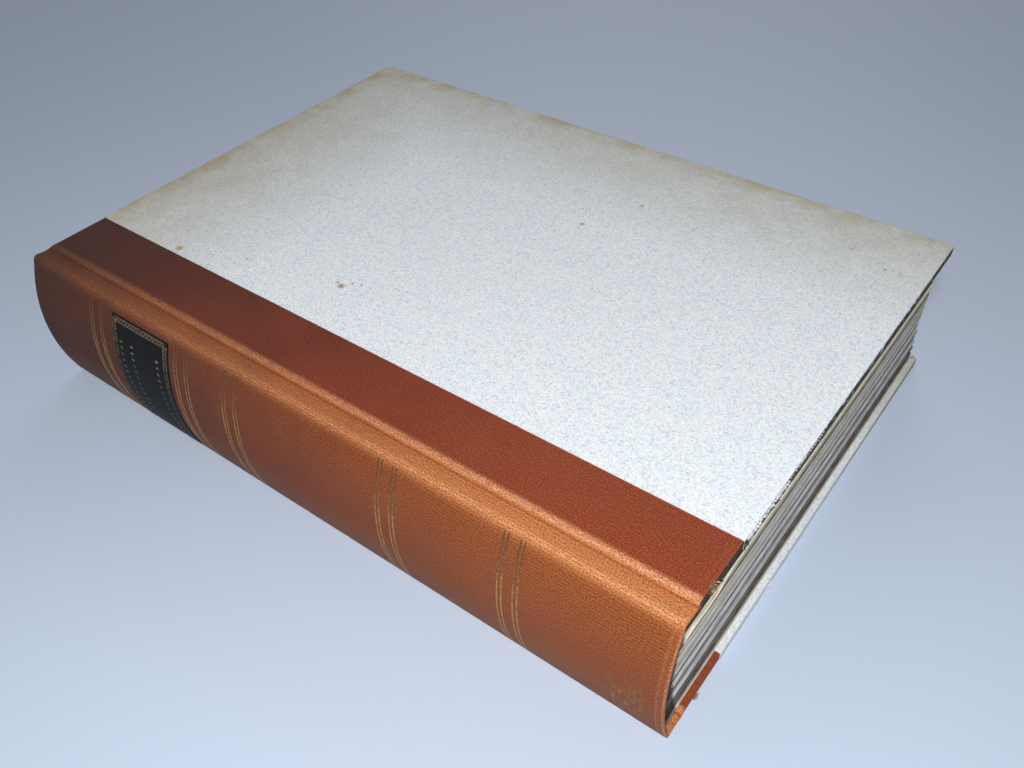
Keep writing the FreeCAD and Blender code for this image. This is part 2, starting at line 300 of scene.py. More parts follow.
# A few leaves near the top stand out at the tail, beside the back
proud = overlap(tree, [(fanned, PROUD_Z[0] * MM, (PROUD_Z[0] + 0.2) * MM),
                       (fanned, (PROUD_Z[1] + 0.2) * MM, PROUD_Z[1] * MM),
                       (backed, PROUD_Y[1] * MM, PROUD_Y[0] * MM),
                       (at["X"], (page_high[0] - 3) * MM, (page_high[0] - 2) * MM)],
                interpolation_type="SMOOTHSTEP")
at_tail = add(tree, "ShaderNodeMath", (proud, PROUD * MM, at["X"]), operation="MULTIPLY_ADD")
spot = add(tree, "ShaderNodeCombineXYZ", (at_tail, backed, fanned))
bound = add(tree, "GeometryNodeSetPosition", {"Geometry": whole, "Position": spot})
end_geometry(tree, bound, leaf_edges)
leaves = run_geometry("leaves", tree, leaf_sizes)
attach(leaves, "book_block")
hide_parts("page_block")

# The endpapers: a folded sheet of cream paper at each end of the book, one half pasted inside the cover and
# the other free as the flyleaf. The strip between them turns over the joint.
HINGE_STRIP = 0.06          # thickness of the strip over the joint
STRIP_MIDDLE_Y = -76.45     # middle of the gap between the pages' shoulder and the board
STRIP_FOLD = 0.12           # radius of the strip's fold while the cover is shut
STRIP_TOP = 2.5             # the fold above the pages
STRIP_END = 0.45            # the pasted end of the strip above the pages


def arc(centre, radius, start, end, spacing):
    """Points along an arc in the book's section, from one angle to another in degrees."""
    count = max(4, int(radius * abs(math.radians(end - start)) / spacing) + 1)
    turn = np.radians(np.linspace(start, end, count))
    return np.column_stack([centre[0] + radius * np.cos(turn), centre[1] + radius * np.sin(turn)])


def outwards(piece):
    """Turns a piece's faces outwards where its grid ran the other way."""
    mesh = piece.data
    points = np.array([v.co for v in mesh.vertices])
    mesh.calc_loop_triangles()
    corners = np.array([t.vertices for t in mesh.loop_triangles])
    a, b, c = (points[corners[:, i]] for i in range(3))
    if np.einsum("ij,ij->i", a, np.cross(b, c)).sum() < 0:
        mesh.flip_normals()
    return piece


def sheet_piece(name, mesh, material):
    """A piece from a sheet's mesh: soft shading with crisp rims, its material, and its faces outwards."""
    mesh.shade_smooth()
    mesh.set_sharp_from_angle(angle=math.radians(40))
    mesh.materials.append(material)
    return outwards(show(name, mesh))


def closed_sheet(name, outer, inner, material, uv=None):
    """A closed sheet between two grids of points, in millimetres, with a UV map in millimetres."""
    rows, columns = outer.shape[:2]
    points = np.concatenate([outer.reshape(-1, 3), inner.reshape(-1, 3)]) * MM
    near = np.arange(rows * columns).reshape(rows, columns)
    far = near + rows * columns
    faces = []
    for grid, turned in ((near, False), (far, True)):
        quads = np.stack([grid[:-1, :-1], grid[1:, :-1], grid[1:, 1:], grid[:-1, 1:]], axis=-1).reshape(-1, 4)
        faces.extend(quads[:, ::-1].tolist() if turned else quads.tolist())
    rim = np.concatenate([near[:, 0], near[-1, 1:], near[::-1, -1][1:], near[0, ::-1][1:]])
    below = rim + rows * columns
    faces.extend([[rim[i + 1], rim[i], below[i], below[i + 1]] for i in range(len(rim) - 1)])
    mesh = bpy.data.meshes.new(name)
    mesh.from_pydata(points.tolist(), [], [[int(i) for i in face] for face in faces])
    if uv is not None:
        layer = mesh.uv_layers.new(name="cloth_mm")
        corners = np.zeros(len(mesh.loops), int)
        mesh.loops.foreach_get("vertex_index", corners)
        both = np.concatenate([uv.reshape(-1, 2), uv.reshape(-1, 2)])
        layer.data.foreach_set("uv", both[corners].ravel())
    return sheet_piece(name, mesh, material)


def dress(node, material):
    """A CAD node keeps its shape and takes a material."""
    mesh_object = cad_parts[node]
    if not mesh_object.material_slots:
        mesh_object.data.materials.append(material)
    for place in mesh_object.material_slots:
        place.material = material


# Endpaper: uncoated cream paper with fine fibres, browned in cloudy patches, dull to the eye.
endpaper, tree, shader = new_material("cream_endpaper", 0.85, IOR=1.45)
place = add(tree, "ShaderNodeTexCoord").outputs["Object"]
clouds = add(tree, "ShaderNodeTexNoise",
             {"Vector": place, "Scale": 1 / (35 * MM), "Detail": 5, "Roughness": 0.6})
aged = add(tree, "ShaderNodeValToRGB", {"Fac": clouds})
set_stops(aged, [(0.25, "#CFC19C"), (0.42, "#DDD3B6"), (0.62, "#E6DFC8"), (0.8, "#D6C9A6")])
fibres = add(tree, "ShaderNodeTexNoise", {"Vector": place, "Scale": 1 / (0.5 * MM), "Detail": 4})
specks = add(tree, "ShaderNodeValToRGB", {"Fac": fibres})
set_stops(specks, [(0.3, "#DDD6C6"), (0.55, "#FFFFFF")])
mixed = add(tree, "ShaderNodeMix", {0: 0.5, 6: aged, 7: specks}, data_type="RGBA", blend_type="MULTIPLY")
bump = add(tree, "ShaderNodeBump", {"Height": fibres, "Strength": 0.35, "Distance": 0.06 * MM})
fill(tree, shader, {"Base Color": mixed, "Normal": bump})

strip_x = np.linspace(-leaf_high[0], leaf_high[0], 25)
for cover, side in (("front", 1), ("back", -1)):
    dress(cover + "_flyleaf", endpaper)
    dress(cover + "_pastedown", endpaper)
    sheets = []
    for offset in (HINGE_STRIP / 2, -HINGE_STRIP / 2):
        radius = STRIP_FOLD + offset
        fold = arc((STRIP_MIDDLE_Y, page_half + STRIP_TOP), radius, 180, 0, radius / 5)
        line = np.concatenate([[[fold[0, 0], page_half]], fold, [[fold[-1, 0], page_half + STRIP_END]]])
        grid = np.zeros((len(line), len(strip_x), 3))
        grid[..., 0] = strip_x
        grid[..., 1] = line[:, :1]
        grid[..., 2] = middle_z + side * line[:, 1:]
        sheets.append(grid)
    strip = closed_sheet(cover + "_endpaper_hinge", sheets[0], sheets[1], endpaper)
    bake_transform(strip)

# What holds the leaves and the covers together under the cloth: linen tapes and open mull glued over the
# sewn backs and onto the boards, a kraft lining, a card inlay behind the cloth, and the rope-fibre boards.
BOARD_FIBRE = 0.8
TAPE_THREAD = 0.5
MULL_MESH = 1.4

# Binder's board: grey-brown pressed fibre with darker flecks, rough where it is cut.
binders_board, tree, shader = new_material("pressed_fibre_board", 0.92, IOR=1.45)
place = add(tree, "ShaderNodeTexCoord").outputs["Object"]
fibres = add(tree, "ShaderNodeTexNoise",
             {"Vector": place, "Scale": 1 / (BOARD_FIBRE * MM), "Detail": 5, "Roughness": 0.7})
fleck = add(tree, "ShaderNodeValToRGB", {"Fac": fibres})
set_stops(fleck, [(0.3, "#5D5446"), (0.5, "#857A66"), (0.7, "#A39882")])
bump = add(tree, "ShaderNodeBump", {"Height": fibres, "Strength": 0.6, "Distance": 0.15 * MM})
fill(tree, shader, {"Base Color": fleck, "Normal": bump})

# Kraft paper and card: plain brown papers with faint lengthwise streaks from the paper machine.
plain_papers = {}
for name, light, dark in (("brown_kraft_paper", "#A98A63", "#8E7150"),
                          ("grey_spine_card", "#94836A", "#7A6B55")):
    paper, tree, shader = new_material(name, 0.88, IOR=1.45)
    place = add(tree, "ShaderNodeTexCoord").outputs["Object"]
    lengthwise = add(tree, "ShaderNodeMapping", {"Vector": place, "Scale": (0.15, 1, 1)})
    streaks = add(tree, "ShaderNodeTexNoise", {"Vector": lengthwise, "Scale": 1 / (0.6 * MM), "Detail": 4})
    shades = add(tree, "ShaderNodeValToRGB", {"Fac": streaks})
    set_stops(shades, [(0.3, dark), (0.7, light)])
    bump = add(tree, "ShaderNodeBump", {"Height": streaks, "Strength": 0.3, "Distance": 0.08 * MM})
    fill(tree, shader, {"Base Color": shades, "Normal": bump})
    plain_papers[name] = paper

# Linen tape and mull: plain weaves of undyed thread, tight in the tape and open and stiff with size in the
# mull, where the glue shows brown between the threads.
weaves = {}
for name, pitch, thread, between in (("undyed_linen", TAPE_THREAD, "#D8D0B8", "#A79D84"),
                                     ("open_mull", MULL_MESH, "#CFC8B2", "#8B7A5C")):
    weave, tree, shader = new_material(name, 0.9, IOR=1.45)
    place = add(tree, "ShaderNodeTexCoord").outputs["Object"]
    turns = add(tree, "ShaderNodeVectorMath", {0: place, "Scale": math.pi / (pitch * MM)}, operation="SCALE")
    waves = add(tree, "ShaderNodeVectorMath", {0: turns}, operation="SINE")
    depth = add(tree, "ShaderNodeVectorMath", {0: waves}, operation="ABSOLUTE")
    lines = add(tree, "ShaderNodeSeparateXYZ", {0: depth}).outputs
    crossing = add(tree, "ShaderNodeMath", (lines["X"], lines["Y"]), operation="MINIMUM")
    shades = add(tree, "ShaderNodeValToRGB", {"Fac": crossing})
    set_stops(shades, [(0.1, thread), (0.55, between)])
    bump = add(tree, "ShaderNodeBump", {"Height": crossing, "Strength": 0.5, "Distance": 0.12 * MM},
               invert=True)
    fill(tree, shader, {"Base Color": shades, "Normal": bump})
    weaves[name] = weave

dress("spine_lining", plain_papers["brown_kraft_paper"])
dress("spine_inlay", plain_papers["grey_spine_card"])
dress("sewing_tapes", weaves["undyed_linen"])
dress("mull", weaves["open_mull"])
for cover in ("front", "back"):
    dress(cover + "_board", binders_board)
    dress(cover + "_tape_slips", weaves["undyed_linen"])
    dress(cover + "_mull_flange", weaves["open_mull"])

# The case's cloth: one strip of dyed, ribbed book cloth glued over the card inlay, both joints and the spine
# side of both boards, and turned in at head and tail. It is made in five lengths that meet edge to edge: the
# round back, a joint on each side, and a side on each board.
CLOTH = 0.35
RIDGE_RADIUS = 1.6
RIDGE_BACK = 5.93           # middle of the ridge behind the board's spine edge
RIDGE_DROP = 0.5            # ridge below the outside of the cover
GROOVE_RADIUS = 9.0         # hollow of the joint, shallow after long use
GROOVE_BACK = 3.33          # middle of the hollow behind the board's spine edge
FOLD_RADIUS = 0.62          # outside of the cloth where it turns over an edge
TURN_IN = 15.0
FOLD_BACK = 1.5             # cloth, inlay and turned-in cloth at the ends of the back
FOLD_JOINT = 0.75           # two layers of cloth at the ends of the joints
FOLD_RUN = 3.2              # the fold deepens over this far, from the joint to the whole board
INLAY_EDGE = (21.0, 23.0)   # round the back from its crest, where the card inlay inside the fold ends
SIDE_OVERLAP = 2.0          # the joint's cloth runs this far onto the board
FRAY_Y = (-73.5, -68.5)     # stretch of the front cover's tail edge where the cloth is frayed through
FRAY_DEPTH = 0.9

side_low, side_high = span("front_cloth_side")
paper_low, paper_high = span("front_side_paper")
board_y = side_low[1]
flat_z = side_high[2] - middle_z
groove_y = board_y - GROOVE_BACK
ridge = (board_y - RIDGE_BACK, paper_high[2] - RIDGE_DROP - RIDGE_RADIUS - middle_z)
groove_rise = math.sqrt((RIDGE_RADIUS + GROOVE_RADIUS) ** 2 - (groove_y - ridge[0]) ** 2)
groove = (groove_y, ridge[1] + groove_rise)
back_turn = math.degrees(math.atan2(ridge[1], ridge[0] - round_y))
groove_turn = math.degrees(math.atan2(groove_rise, groove_y - ridge[0]))
board_turn = 360 - math.degrees(math.asin((groove[1] - flat_z) / GROOVE_RADIUS))

# Half of the section, from the crest of the back to the end of the cloth on the board. A short running mean
# rounds the cloth over the board's edge, as glued cloth goes over a corner.
FINE = 0.08
section = np.concatenate([
    arc((round_y, 0), BACK_RADIUS, 180, back_turn, FINE),
    arc(ridge, RIDGE_RADIUS, back_turn, groove_turn, FINE)[1:],
    arc(groove, GROOVE_RADIUS, 180 + groove_turn, board_turn, FINE)[1:]])
flat_y = np.arange(section[-1, 0] + FINE, side_high[1] + 2, FINE)
section = np.concatenate([section, np.column_stack([flat_y, np.full(len(flat_y), flat_z)])])
window = np.hanning(13) / np.hanning(13).sum()
mirrored = section[6:0:-1] * (1, -1)
padded = np.concatenate([mirrored, section, section[-1:] + (section[-1:] - section[-7:-1])[::-1]])
section = np.column_stack([np.convolve(padded[:, i], window, "valid") for i in range(2)])
travel = np.concatenate([[0], np.cumsum(np.linalg.norm(np.diff(section, axis=0), axis=1))])
along = np.gradient(section, travel, axis=0)
along /= np.linalg.norm(along, axis=1)[:, None]


def on_section(v):
    """Point and outward direction of the cloth at distances v round the section from the crest."""
    sign = np.where(v < 0, -1, 1)
    y, z, dy, dz = (np.interp(abs(v), travel, column) for column in
                    (section[:, 0], section[:, 1], -along[:, 1], along[:, 0]))
    return np.stack([y, z * sign], axis=-1), np.stack([dy, dz * sign], axis=-1)


def at_y(y):
    """Distance round the section of the place over the board with that y."""
    over_board = section[:, 0] > section[-1, 0] - 25
    return float(np.interp(y, section[over_board, 0], travel[over_board]))


ridge_v = BACK_RADIUS * math.radians(180 - back_turn)
edge_v = at_y(board_y)
joint_v = at_y(board_y + SIDE_OVERLAP)
lap_v = at_y(side_high[1])
flat_x = np.linspace(-1, 1, 81)


def turned_path(end_x, fold, inset):
    """Places across the book and depths under the outside, from one turned-in edge over to the other."""
    radius = min(fold / 2, FOLD_RADIUS)
    small = max(radius - inset, 0.02)
    corner = arc((end_x - radius, 0), small, 90, 0, small / 5)
    corner = np.column_stack([corner[:, 0], radius - corner[:, 1]])
    lower = np.column_stack([corner[::-1, 0], fold - corner[::-1, 1]])
    inner = np.column_stack([np.linspace(end_x - radius, end_x - TURN_IN, 4)[1:], np.full(3, fold - inset)])
    right = np.concatenate([corner, lower, inner])
    flat = np.column_stack([flat_x[1:-1] * (end_x - radius), np.full(len(flat_x) - 2, inset)])
    left = right[::-1] * (-1, 1)
    return np.concatenate([left, flat, right])


def cloth_length(name, start, end, spacing, fray=False):
    """A length of the case's cloth between two distances round the section."""
    rounds = np.linspace(start, end, max(3, int(abs(end - start) / spacing) + 1))
    spots, facing = on_section(rounds)
    grids = []
    for inset in (0, CLOTH):
        rows = []
        for v, (y, z), (dy, dz) in zip(rounds, spots, facing):
            end_x = np.interp(abs(v), [edge_v - 1, joint_v], [cloth_high[0], side_high[0]])
            fold = np.interp(abs(v), [*INLAY_EDGE, edge_v - FOLD_RUN, edge_v - 0.6],
                             [FOLD_BACK, FOLD_JOINT, FOLD_JOINT, side_high[2] - side_low[2]])
            path = turned_path(end_x, fold, inset)
            if fray and FRAY_Y[0] < y < FRAY_Y[1]:
                share = math.sin(math.pi * (y - FRAY_Y[0]) / (FRAY_Y[1] - FRAY_Y[0]))
                ragged = 0.5 + 0.8 * noise.noise(Vector((y * 1.7, 3.1, 0)))
                torn = FRAY_DEPTH * share * max(ragged, 0)
                near = np.clip((path[:, 0] - end_x + 4) / 4, 0, 1)
                path[:, 0] = path[:, 0] - torn * near
            rows.append(np.column_stack([path[:, 0], y - dy * path[:, 1], middle_z + z - dz * path[:, 1]]))
        grids.append(np.array(rows))
    lengths = np.linalg.norm(np.diff(turned_path(side_high[0], FOLD_BACK, 0), axis=0), axis=1)
    u = np.concatenate([[0], np.cumsum(lengths)])
    u = u - u[-1] / 2
    uv = np.stack([np.broadcast_to(u, grids[0].shape[:2]),
                   np.broadcast_to(rounds[:, None], grids[0].shape[:2])], axis=-1)
    return closed_sheet(name, grids[0], grids[1], book_cloth, uv)


# Book cloth: dyed cotton with a rib along the spine, faded and rubbed pale on both edges of each joint and on
# its rims, darker and redder on the boards, greyed and soiled low on the back, and darker and browner towards
# the head with painted shade and cloudy soiling.
RIB = 1.0                   # rib to rib
CROSS_THREAD = 0.55         # drawn coarser than the real cross threads, which are too fine to show
LINT = 0.42                 # grain of the thread tops, drawn coarser than the real one
DUST_START = (-4.0, -24.0)  # round the back from its crest, where the dust on its low side sets in
DUST_END = (-30.0, -26.0)   # and where it ends beside the ridge
OLD_GOLD_X = (103.5, 115.5) # where faint traces of worn gold are left, low on the back near the tail
OLD_GOLD_V = (2.0, -21.0)   # and how far round the back from its crest
RIM_X = (116.0, 120.0)      # the worn lines along head and tail lie this far from the middle
book_cloth, tree, shader = new_material("ribbed_book_cloth", 0.85, IOR=1.45, Sheen_Weight=0.04,
                                        Sheen_Roughness=0.5, Specular_IOR_Level=0.3)
cloth_map = add(tree, "ShaderNodeUVMap", uv_map="cloth_mm")
threads = add(tree, "ShaderNodeSeparateXYZ", {0: cloth_map}).outputs
place = add(tree, "ShaderNodeTexCoord").outputs["Object"]
where = add(tree, "ShaderNodeSeparateXYZ", {0: place}).outputs
wander = add(tree, "ShaderNodeTexNoise", {"Vector": cloth_map, "Scale": 1 / 6, "Detail": 3})
ridges = []
for axis, pitch, drift in (("Y", RIB, 7.0), ("X", CROSS_THREAD, 9.0)):
    strayed = add(tree, "ShaderNodeMath", (wander, drift), operation="MULTIPLY")
    turn = add(tree, "ShaderNodeMath", (threads[axis], 2 * math.pi / pitch, strayed),
               operation="MULTIPLY_ADD")
    ridges.append(add(tree, "ShaderNodeMath", {0: turn}, operation="SINE"))
crossed = add(tree, "ShaderNodeMath", (ridges[1], 0.3, ridges[0]), operation="MULTIPLY_ADD")
# The ribs are pressed nearly flat on the boards
away = add(tree, "ShaderNodeMath", {0: threads["Y"]}, operation="ABSOLUTE")
raised = add(tree, "ShaderNodeMapRange", (away, ridge_v - 4, edge_v, 0.45, 0.2))
woven = add(tree, "ShaderNodeMath", (crossed, raised), operation="MULTIPLY")
lint = add(tree, "ShaderNodeTexNoise",
           {"Vector": cloth_map, "Scale": 1 / LINT, "Detail": 3, "Roughness": 0.75})
relief = add(tree, "ShaderNodeMath", (lint, 12.0, woven), operation="MULTIPLY_ADD")

round_share = add(tree, "ShaderNodeMapRange", (away, 0, lap_v))
# The dark stop just inside the board's edge is painted shade in the crease of the joint
dye_and_crease_shade = add(tree, "ShaderNodeValToRGB", {"Fac": round_share})
set_stops(dye_and_crease_shade, [(0.0, "#88431A"), ((ridge_v - 3) / lap_v, "#8E4A1C"), ((ridge_v + 1.5) / lap_v, "#B26934"),
                 ((edge_v - 2.2) / lap_v, "#AC6232"), ((edge_v - 1.5) / lap_v, "#8A4824"),
                 ((edge_v - 0.8) / lap_v, "#B86C3E"), ((edge_v + 1.1) / lap_v, "#873B1E"),
                 (1.0, "#813A1D")])
# Painted shade and cloudy soiling: the head end is browner and darker, the tail end more orange
towards_tail = add(tree, "ShaderNodeMapRange", (where["X"], cloth_low[0] * MM, cloth_high[0] * MM))
soil_cloud = add(tree, "ShaderNodeTexNoise",
                 {"Vector": place, "Scale": 1 / (22 * MM), "Detail": 4, "Roughness": 0.6})
head_shade_and_soil_level = add(tree, "ShaderNodeMath", (soil_cloud, 0.35, towards_tail), operation="MULTIPLY_ADD")
head_shade_and_soil = add(tree, "ShaderNodeValToRGB", {"Fac": head_shade_and_soil_level})
set_stops(head_shade_and_soil, [(0.12, "#66593C"), (0.35, "#988260"), (0.7, "#DDCFC0"), (1.0, "#FFFFFF")])
aged = add(tree, "ShaderNodeMix", {0: 1.0, 6: dye_and_crease_shade, 7: head_shade_and_soil}, data_type="RGBA", blend_type="MULTIPLY")
# Low on the back the cloth is greyed by dust and handling
low = add(tree, "ShaderNodeMapRange", (threads["Y"], *DUST_START, 0, 0.55))
beside = add(tree, "ShaderNodeMapRange", (threads["Y"], *DUST_END))
dusty = add(tree, "ShaderNodeMath", (low, beside), operation="MULTIPLY")
greyed = add(tree, "ShaderNodeMix", {0: dusty, 6: aged, 7: srgb("#6E5647")}, data_type="RGBA")
streaked = add(tree, "ShaderNodeMapping", {"Vector": cloth_map, "Scale": (1 / 1.3, 1 / 5, 1)})
worn_gold = add(tree, "ShaderNodeTexNoise", {"Vector": streaked, "Scale": 1.0, "Detail": 5, "Roughness": 0.7})
old_gold = overlap(tree, [(threads["X"], OLD_GOLD_X[0], OLD_GOLD_X[0] + 2),
                          (threads["X"], OLD_GOLD_X[1], OLD_GOLD_X[1] - 2),
                          (threads["Y"], OLD_GOLD_V[0], OLD_GOLD_V[0] - 6),
                          (threads["Y"], OLD_GOLD_V[1], OLD_GOLD_V[1] + 3), (worn_gold, 0.5, 0.68)])
faint_gold = add(tree, "ShaderNodeMath", (old_gold, 0.55), operation="MULTIPLY")
gilded = add(tree, "ShaderNodeMix", {0: faint_gold, 6: greyed, 7: srgb("#8C8A50")}, data_type="RGBA")
# Rubbed places: both edges of each joint, widest at the tail, and the rims at head and tail
rub_bands = add(tree, "ShaderNodeValToRGB", {"Fac": round_share})
set_stops(rub_bands, [((ridge_v - 1.6) / lap_v, "#000000"), ((ridge_v + 0.9) / lap_v, "#C4C4C4"),
                      ((ridge_v + 3.2) / lap_v, "#8E8E8E"), ((edge_v - 2.6) / lap_v, "#5A5A5A"),
                      ((edge_v - 1.8) / lap_v, "#1A1A1A"), ((edge_v - 0.8) / lap_v, "#C8C8C8"),
                      ((edge_v + 0.35) / lap_v, "#DCDCDC"), ((edge_v + 1.7) / lap_v, "#000000")])
rubbed_along = add(tree, "ShaderNodeMapping", {"Vector": cloth_map, "Scale": (1 / 2.4, 1 / 0.9, 1)})
scuffs = add(tree, "ShaderNodeTexNoise",
             {"Vector": rubbed_along, "Scale": 1.0, "Detail": 6, "Roughness": 0.75})
past_rim = add(tree, "ShaderNodeMath", {0: threads["X"]}, operation="ABSOLUTE")
rim_span = add(tree, "ShaderNodeMapRange", (past_rim, *RIM_X))
rim_lines = add(tree, "ShaderNodeValToRGB", {"Fac": rim_span})
set_stops(rim_lines, [(0.3, "#000000"), (0.45, "#7A7A7A"), (0.6, "#2C2C2C"), (0.78, "#444444"),
                      (0.92, "#C4C4C4"), (1.0, "#7A7A7A")])
rim_share = add(tree, "ShaderNodeMapRange", (away, ridge_v, edge_v + 1, 1.0, 0.2))
rim_rub = add(tree, "ShaderNodeMath", (rim_lines, rim_share), operation="MULTIPLY")
rubbed = add(tree, "ShaderNodeMath", (rub_bands, rim_rub), operation="MAXIMUM")
tail_rub = add(tree, "ShaderNodeMapRange", (towards_tail, 0, 1, 0.08, 1.4))
rub_amount = add(tree, "ShaderNodeMath", (rubbed, tail_rub), operation="MULTIPLY")
scuff_amount = add(tree, "ShaderNodeMapRange", (scuffs, 0.32, 0.66, 0.2, 1.1))
rub = add(tree, "ShaderNodeMath", (rub_amount, scuff_amount), operation="MULTIPLY", use_clamp=True)
worn = add(tree, "ShaderNodeMix", {0: rub, 6: gilded, 7: srgb("#D8986A")}, data_type="RGBA")
# Where the rubbing is deepest the undyed cotton shows in pale specks
bare = add(tree, "ShaderNodeTexNoise", {"Vector": cloth_map, "Scale": 1 / 0.45, "Detail": 2})
bare_specks = add(tree, "ShaderNodeMapRange", (bare, 0.52, 0.66))
deepest = add(tree, "ShaderNodeMapRange", (rub, 0.45, 1.0, 0, 0.65))
bare_share = add(tree, "ShaderNodeMath", (bare_specks, deepest), operation="MULTIPLY")
fluffed = add(tree, "ShaderNodeMix", {0: bare_share, 6: worn, 7: srgb("#EED2BE")}, data_type="RGBA")
# Thread tops catch dirt and light unevenly, which gives the cloth its speckle
thread_tone = add(tree, "ShaderNodeMapRange", (relief, 4.2, 8.4, 0.3, 1.95))
# The tail edge of the front cover is dark where the cloth turns over it, partly painted shade and partly dirt
edge_shade_and_dirt = overlap(tree, [(where["X"], (side_high[0] - 0.28) * MM, (side_high[0] - 0.06) * MM),
                      (threads["Y"], edge_v - 2.4, edge_v - 0.4), (scuffs, 0.3, 0.45)])
edge_shaded_and_dirtied = add(tree, "ShaderNodeMix", {0: edge_shade_and_dirt, 6: fluffed, 7: srgb("#2A1810")}, data_type="RGBA")
coloured = add(tree, "ShaderNodeVectorMath", {0: edge_shaded_and_dirtied, "Scale": thread_tone}, operation="SCALE")
bump = add(tree, "ShaderNodeBump", {"Height": relief, "Strength": 0.55, "Distance": 0.07 * MM})
fill(tree, shader, {"Base Color": coloured, "Normal": bump})

spine = cloth_length("spine_back_cloth", -ridge_v, ridge_v, 0.5)
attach(spine, "book_block")
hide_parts("spine_cloth")
for cover, side in (("front", 1), ("back", -1)):
    joint = cloth_length(cover + "_joint_cloth", side * ridge_v, side * joint_v, 0.3)
    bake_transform(joint)
    board_side = cloth_length(cover + "_board_cloth", side * joint_v, side * lap_v, 0.5, fray=side > 0)
    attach(board_side, cover + "_cover")
    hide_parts(cover + "_cloth_side")

# The side papers: pale granite paper pasted over each board, lapping the cloth by a few millimetres, turned
# in over the head, fore and tail edges and mitred at the corners. Their edges are rubbed and a little ragged.
PAPER = 0.2
PAPER_RADIUS = 0.6          # outside of the paper where it goes over the board's edges
HEAD_CORNER = 2.5           # the cover's corner at the head is rubbed round
TAIL_CORNER = 1.3
EDGE_STEP = 2.0             # spacing of the points round the cover
EDGE_WAVE = 0.05            # unevenness of the edges
LAP_WAVE = 0.08             # and of the edge that laps the cloth
HEAD_FOXING = (-122, -55)   # the foxing fades along x from the head edge, and along y from the fore edge
FORE_FOXING = (92, 35)
HEAD_RIM = (-120, -112)     # and its yellowest stretch along both edges
FORE_RIM = (89, 81)

# Granite paper: blue-grey pulp with fine pale and dark fibres, dull. The head and fore edges are foxed
# yellow-brown, the tail edges are darkened, on the front cover partly with painted shade, and a few small
# stains lie on the front cover, each given by its x, y, radius and colour.
STAINS = [(-25.0, -38.3, 1.5, "#8B6A48"), (-27.2, -37.5, 0.8, "#A08462"), (-23.0, -35.3, 0.55, "#4E4238"),
          (-20.2, -34.3, 0.5, "#5A4A3C"), (-83.0, -53.6, 1.6, "#9C7B46"), (-60.0, -45.0, 0.5, "#8A8576"),
          (16.5, 32.4, 1.1, "#9E8A6C"), (27.0, 53.1, 0.9, "#9A7A52"), (106.9, 63.6, 0.55, "#5E564C"),
          (94.4, 68.6, 0.5, "#6A6256")]
granite_paper, tree, shader = new_material("granite_side_paper", 0.8, IOR=1.45)
place = add(tree, "ShaderNodeTexCoord").outputs["Object"]
where = add(tree, "ShaderNodeSeparateXYZ", {0: place}).outputs
pulp = add(tree, "ShaderNodeTexNoise",
           {"Vector": place, "Scale": 1 / (0.6 * MM), "Detail": 5, "Roughness": 0.75})
mottle = add(tree, "ShaderNodeValToRGB", {"Fac": pulp})
set_stops(mottle, [(0.27, "#8A9298"), (0.37, "#BEC4C8"), (0.46, "#D6DBDE"), (0.6, "#E4E8EA"),
                   (0.75, "#F6F8FA")])
rags = add(tree, "ShaderNodeTexNoise",
           {"Vector": place, "Scale": 1 / (1.2 * MM), "Detail": 3, "Roughness": 0.6})
rag_tints = add(tree, "ShaderNodeValToRGB", {"Fac": rags})
set_stops(rag_tints, [(0.34, "#EFF3F9"), (0.5, "#FCFDFF"), (0.66, "#FFFCF6")])
mixed_rag = add(tree, "ShaderNodeMix", {0: 1.0, 6: mottle, 7: rag_tints}, data_type="RGBA",
                blend_type="MULTIPLY")
slanted = add(tree, "ShaderNodeMapping", {"Vector": place, "Rotation": (0, 0, 0.6), "Scale": (0.25, 1, 1)})
hairs = add(tree, "ShaderNodeTexNoise",
            {"Vector": slanted, "Scale": 1 / (0.7 * MM), "Detail": 2, "Distortion": 1.5})
hair_mask = add(tree, "ShaderNodeMapRange", (hairs, 0.66, 0.74, 0, 0.45))
haired = add(tree, "ShaderNodeMix", {0: hair_mask, 6: mixed_rag, 7: srgb("#8F979D")}, data_type="RGBA")
clouds = add(tree, "ShaderNodeTexNoise",
             {"Vector": place, "Scale": 1 / (14 * MM), "Detail": 6, "Roughness": 0.7})
from_head = add(tree, "ShaderNodeMapRange",
                (where["X"], HEAD_FOXING[0] * MM, HEAD_FOXING[1] * MM, 1.0, 0.0))
from_fore = add(tree, "ShaderNodeMapRange",
                (where["Y"], FORE_FOXING[0] * MM, FORE_FOXING[1] * MM, 0.85, 0.0))
near_edges = add(tree, "ShaderNodeMath", (from_head, from_fore), operation="MAXIMUM")
fox_cloud = add(tree, "ShaderNodeMapRange", (clouds, 0.3, 0.7, 0.42, 0.82))
foxing = add(tree, "ShaderNodeMath", (near_edges, fox_cloud), operation="MULTIPLY")
foxed = add(tree, "ShaderNodeMix", {0: foxing, 6: haired, 7: srgb("#9A8E70")}, data_type="RGBA")
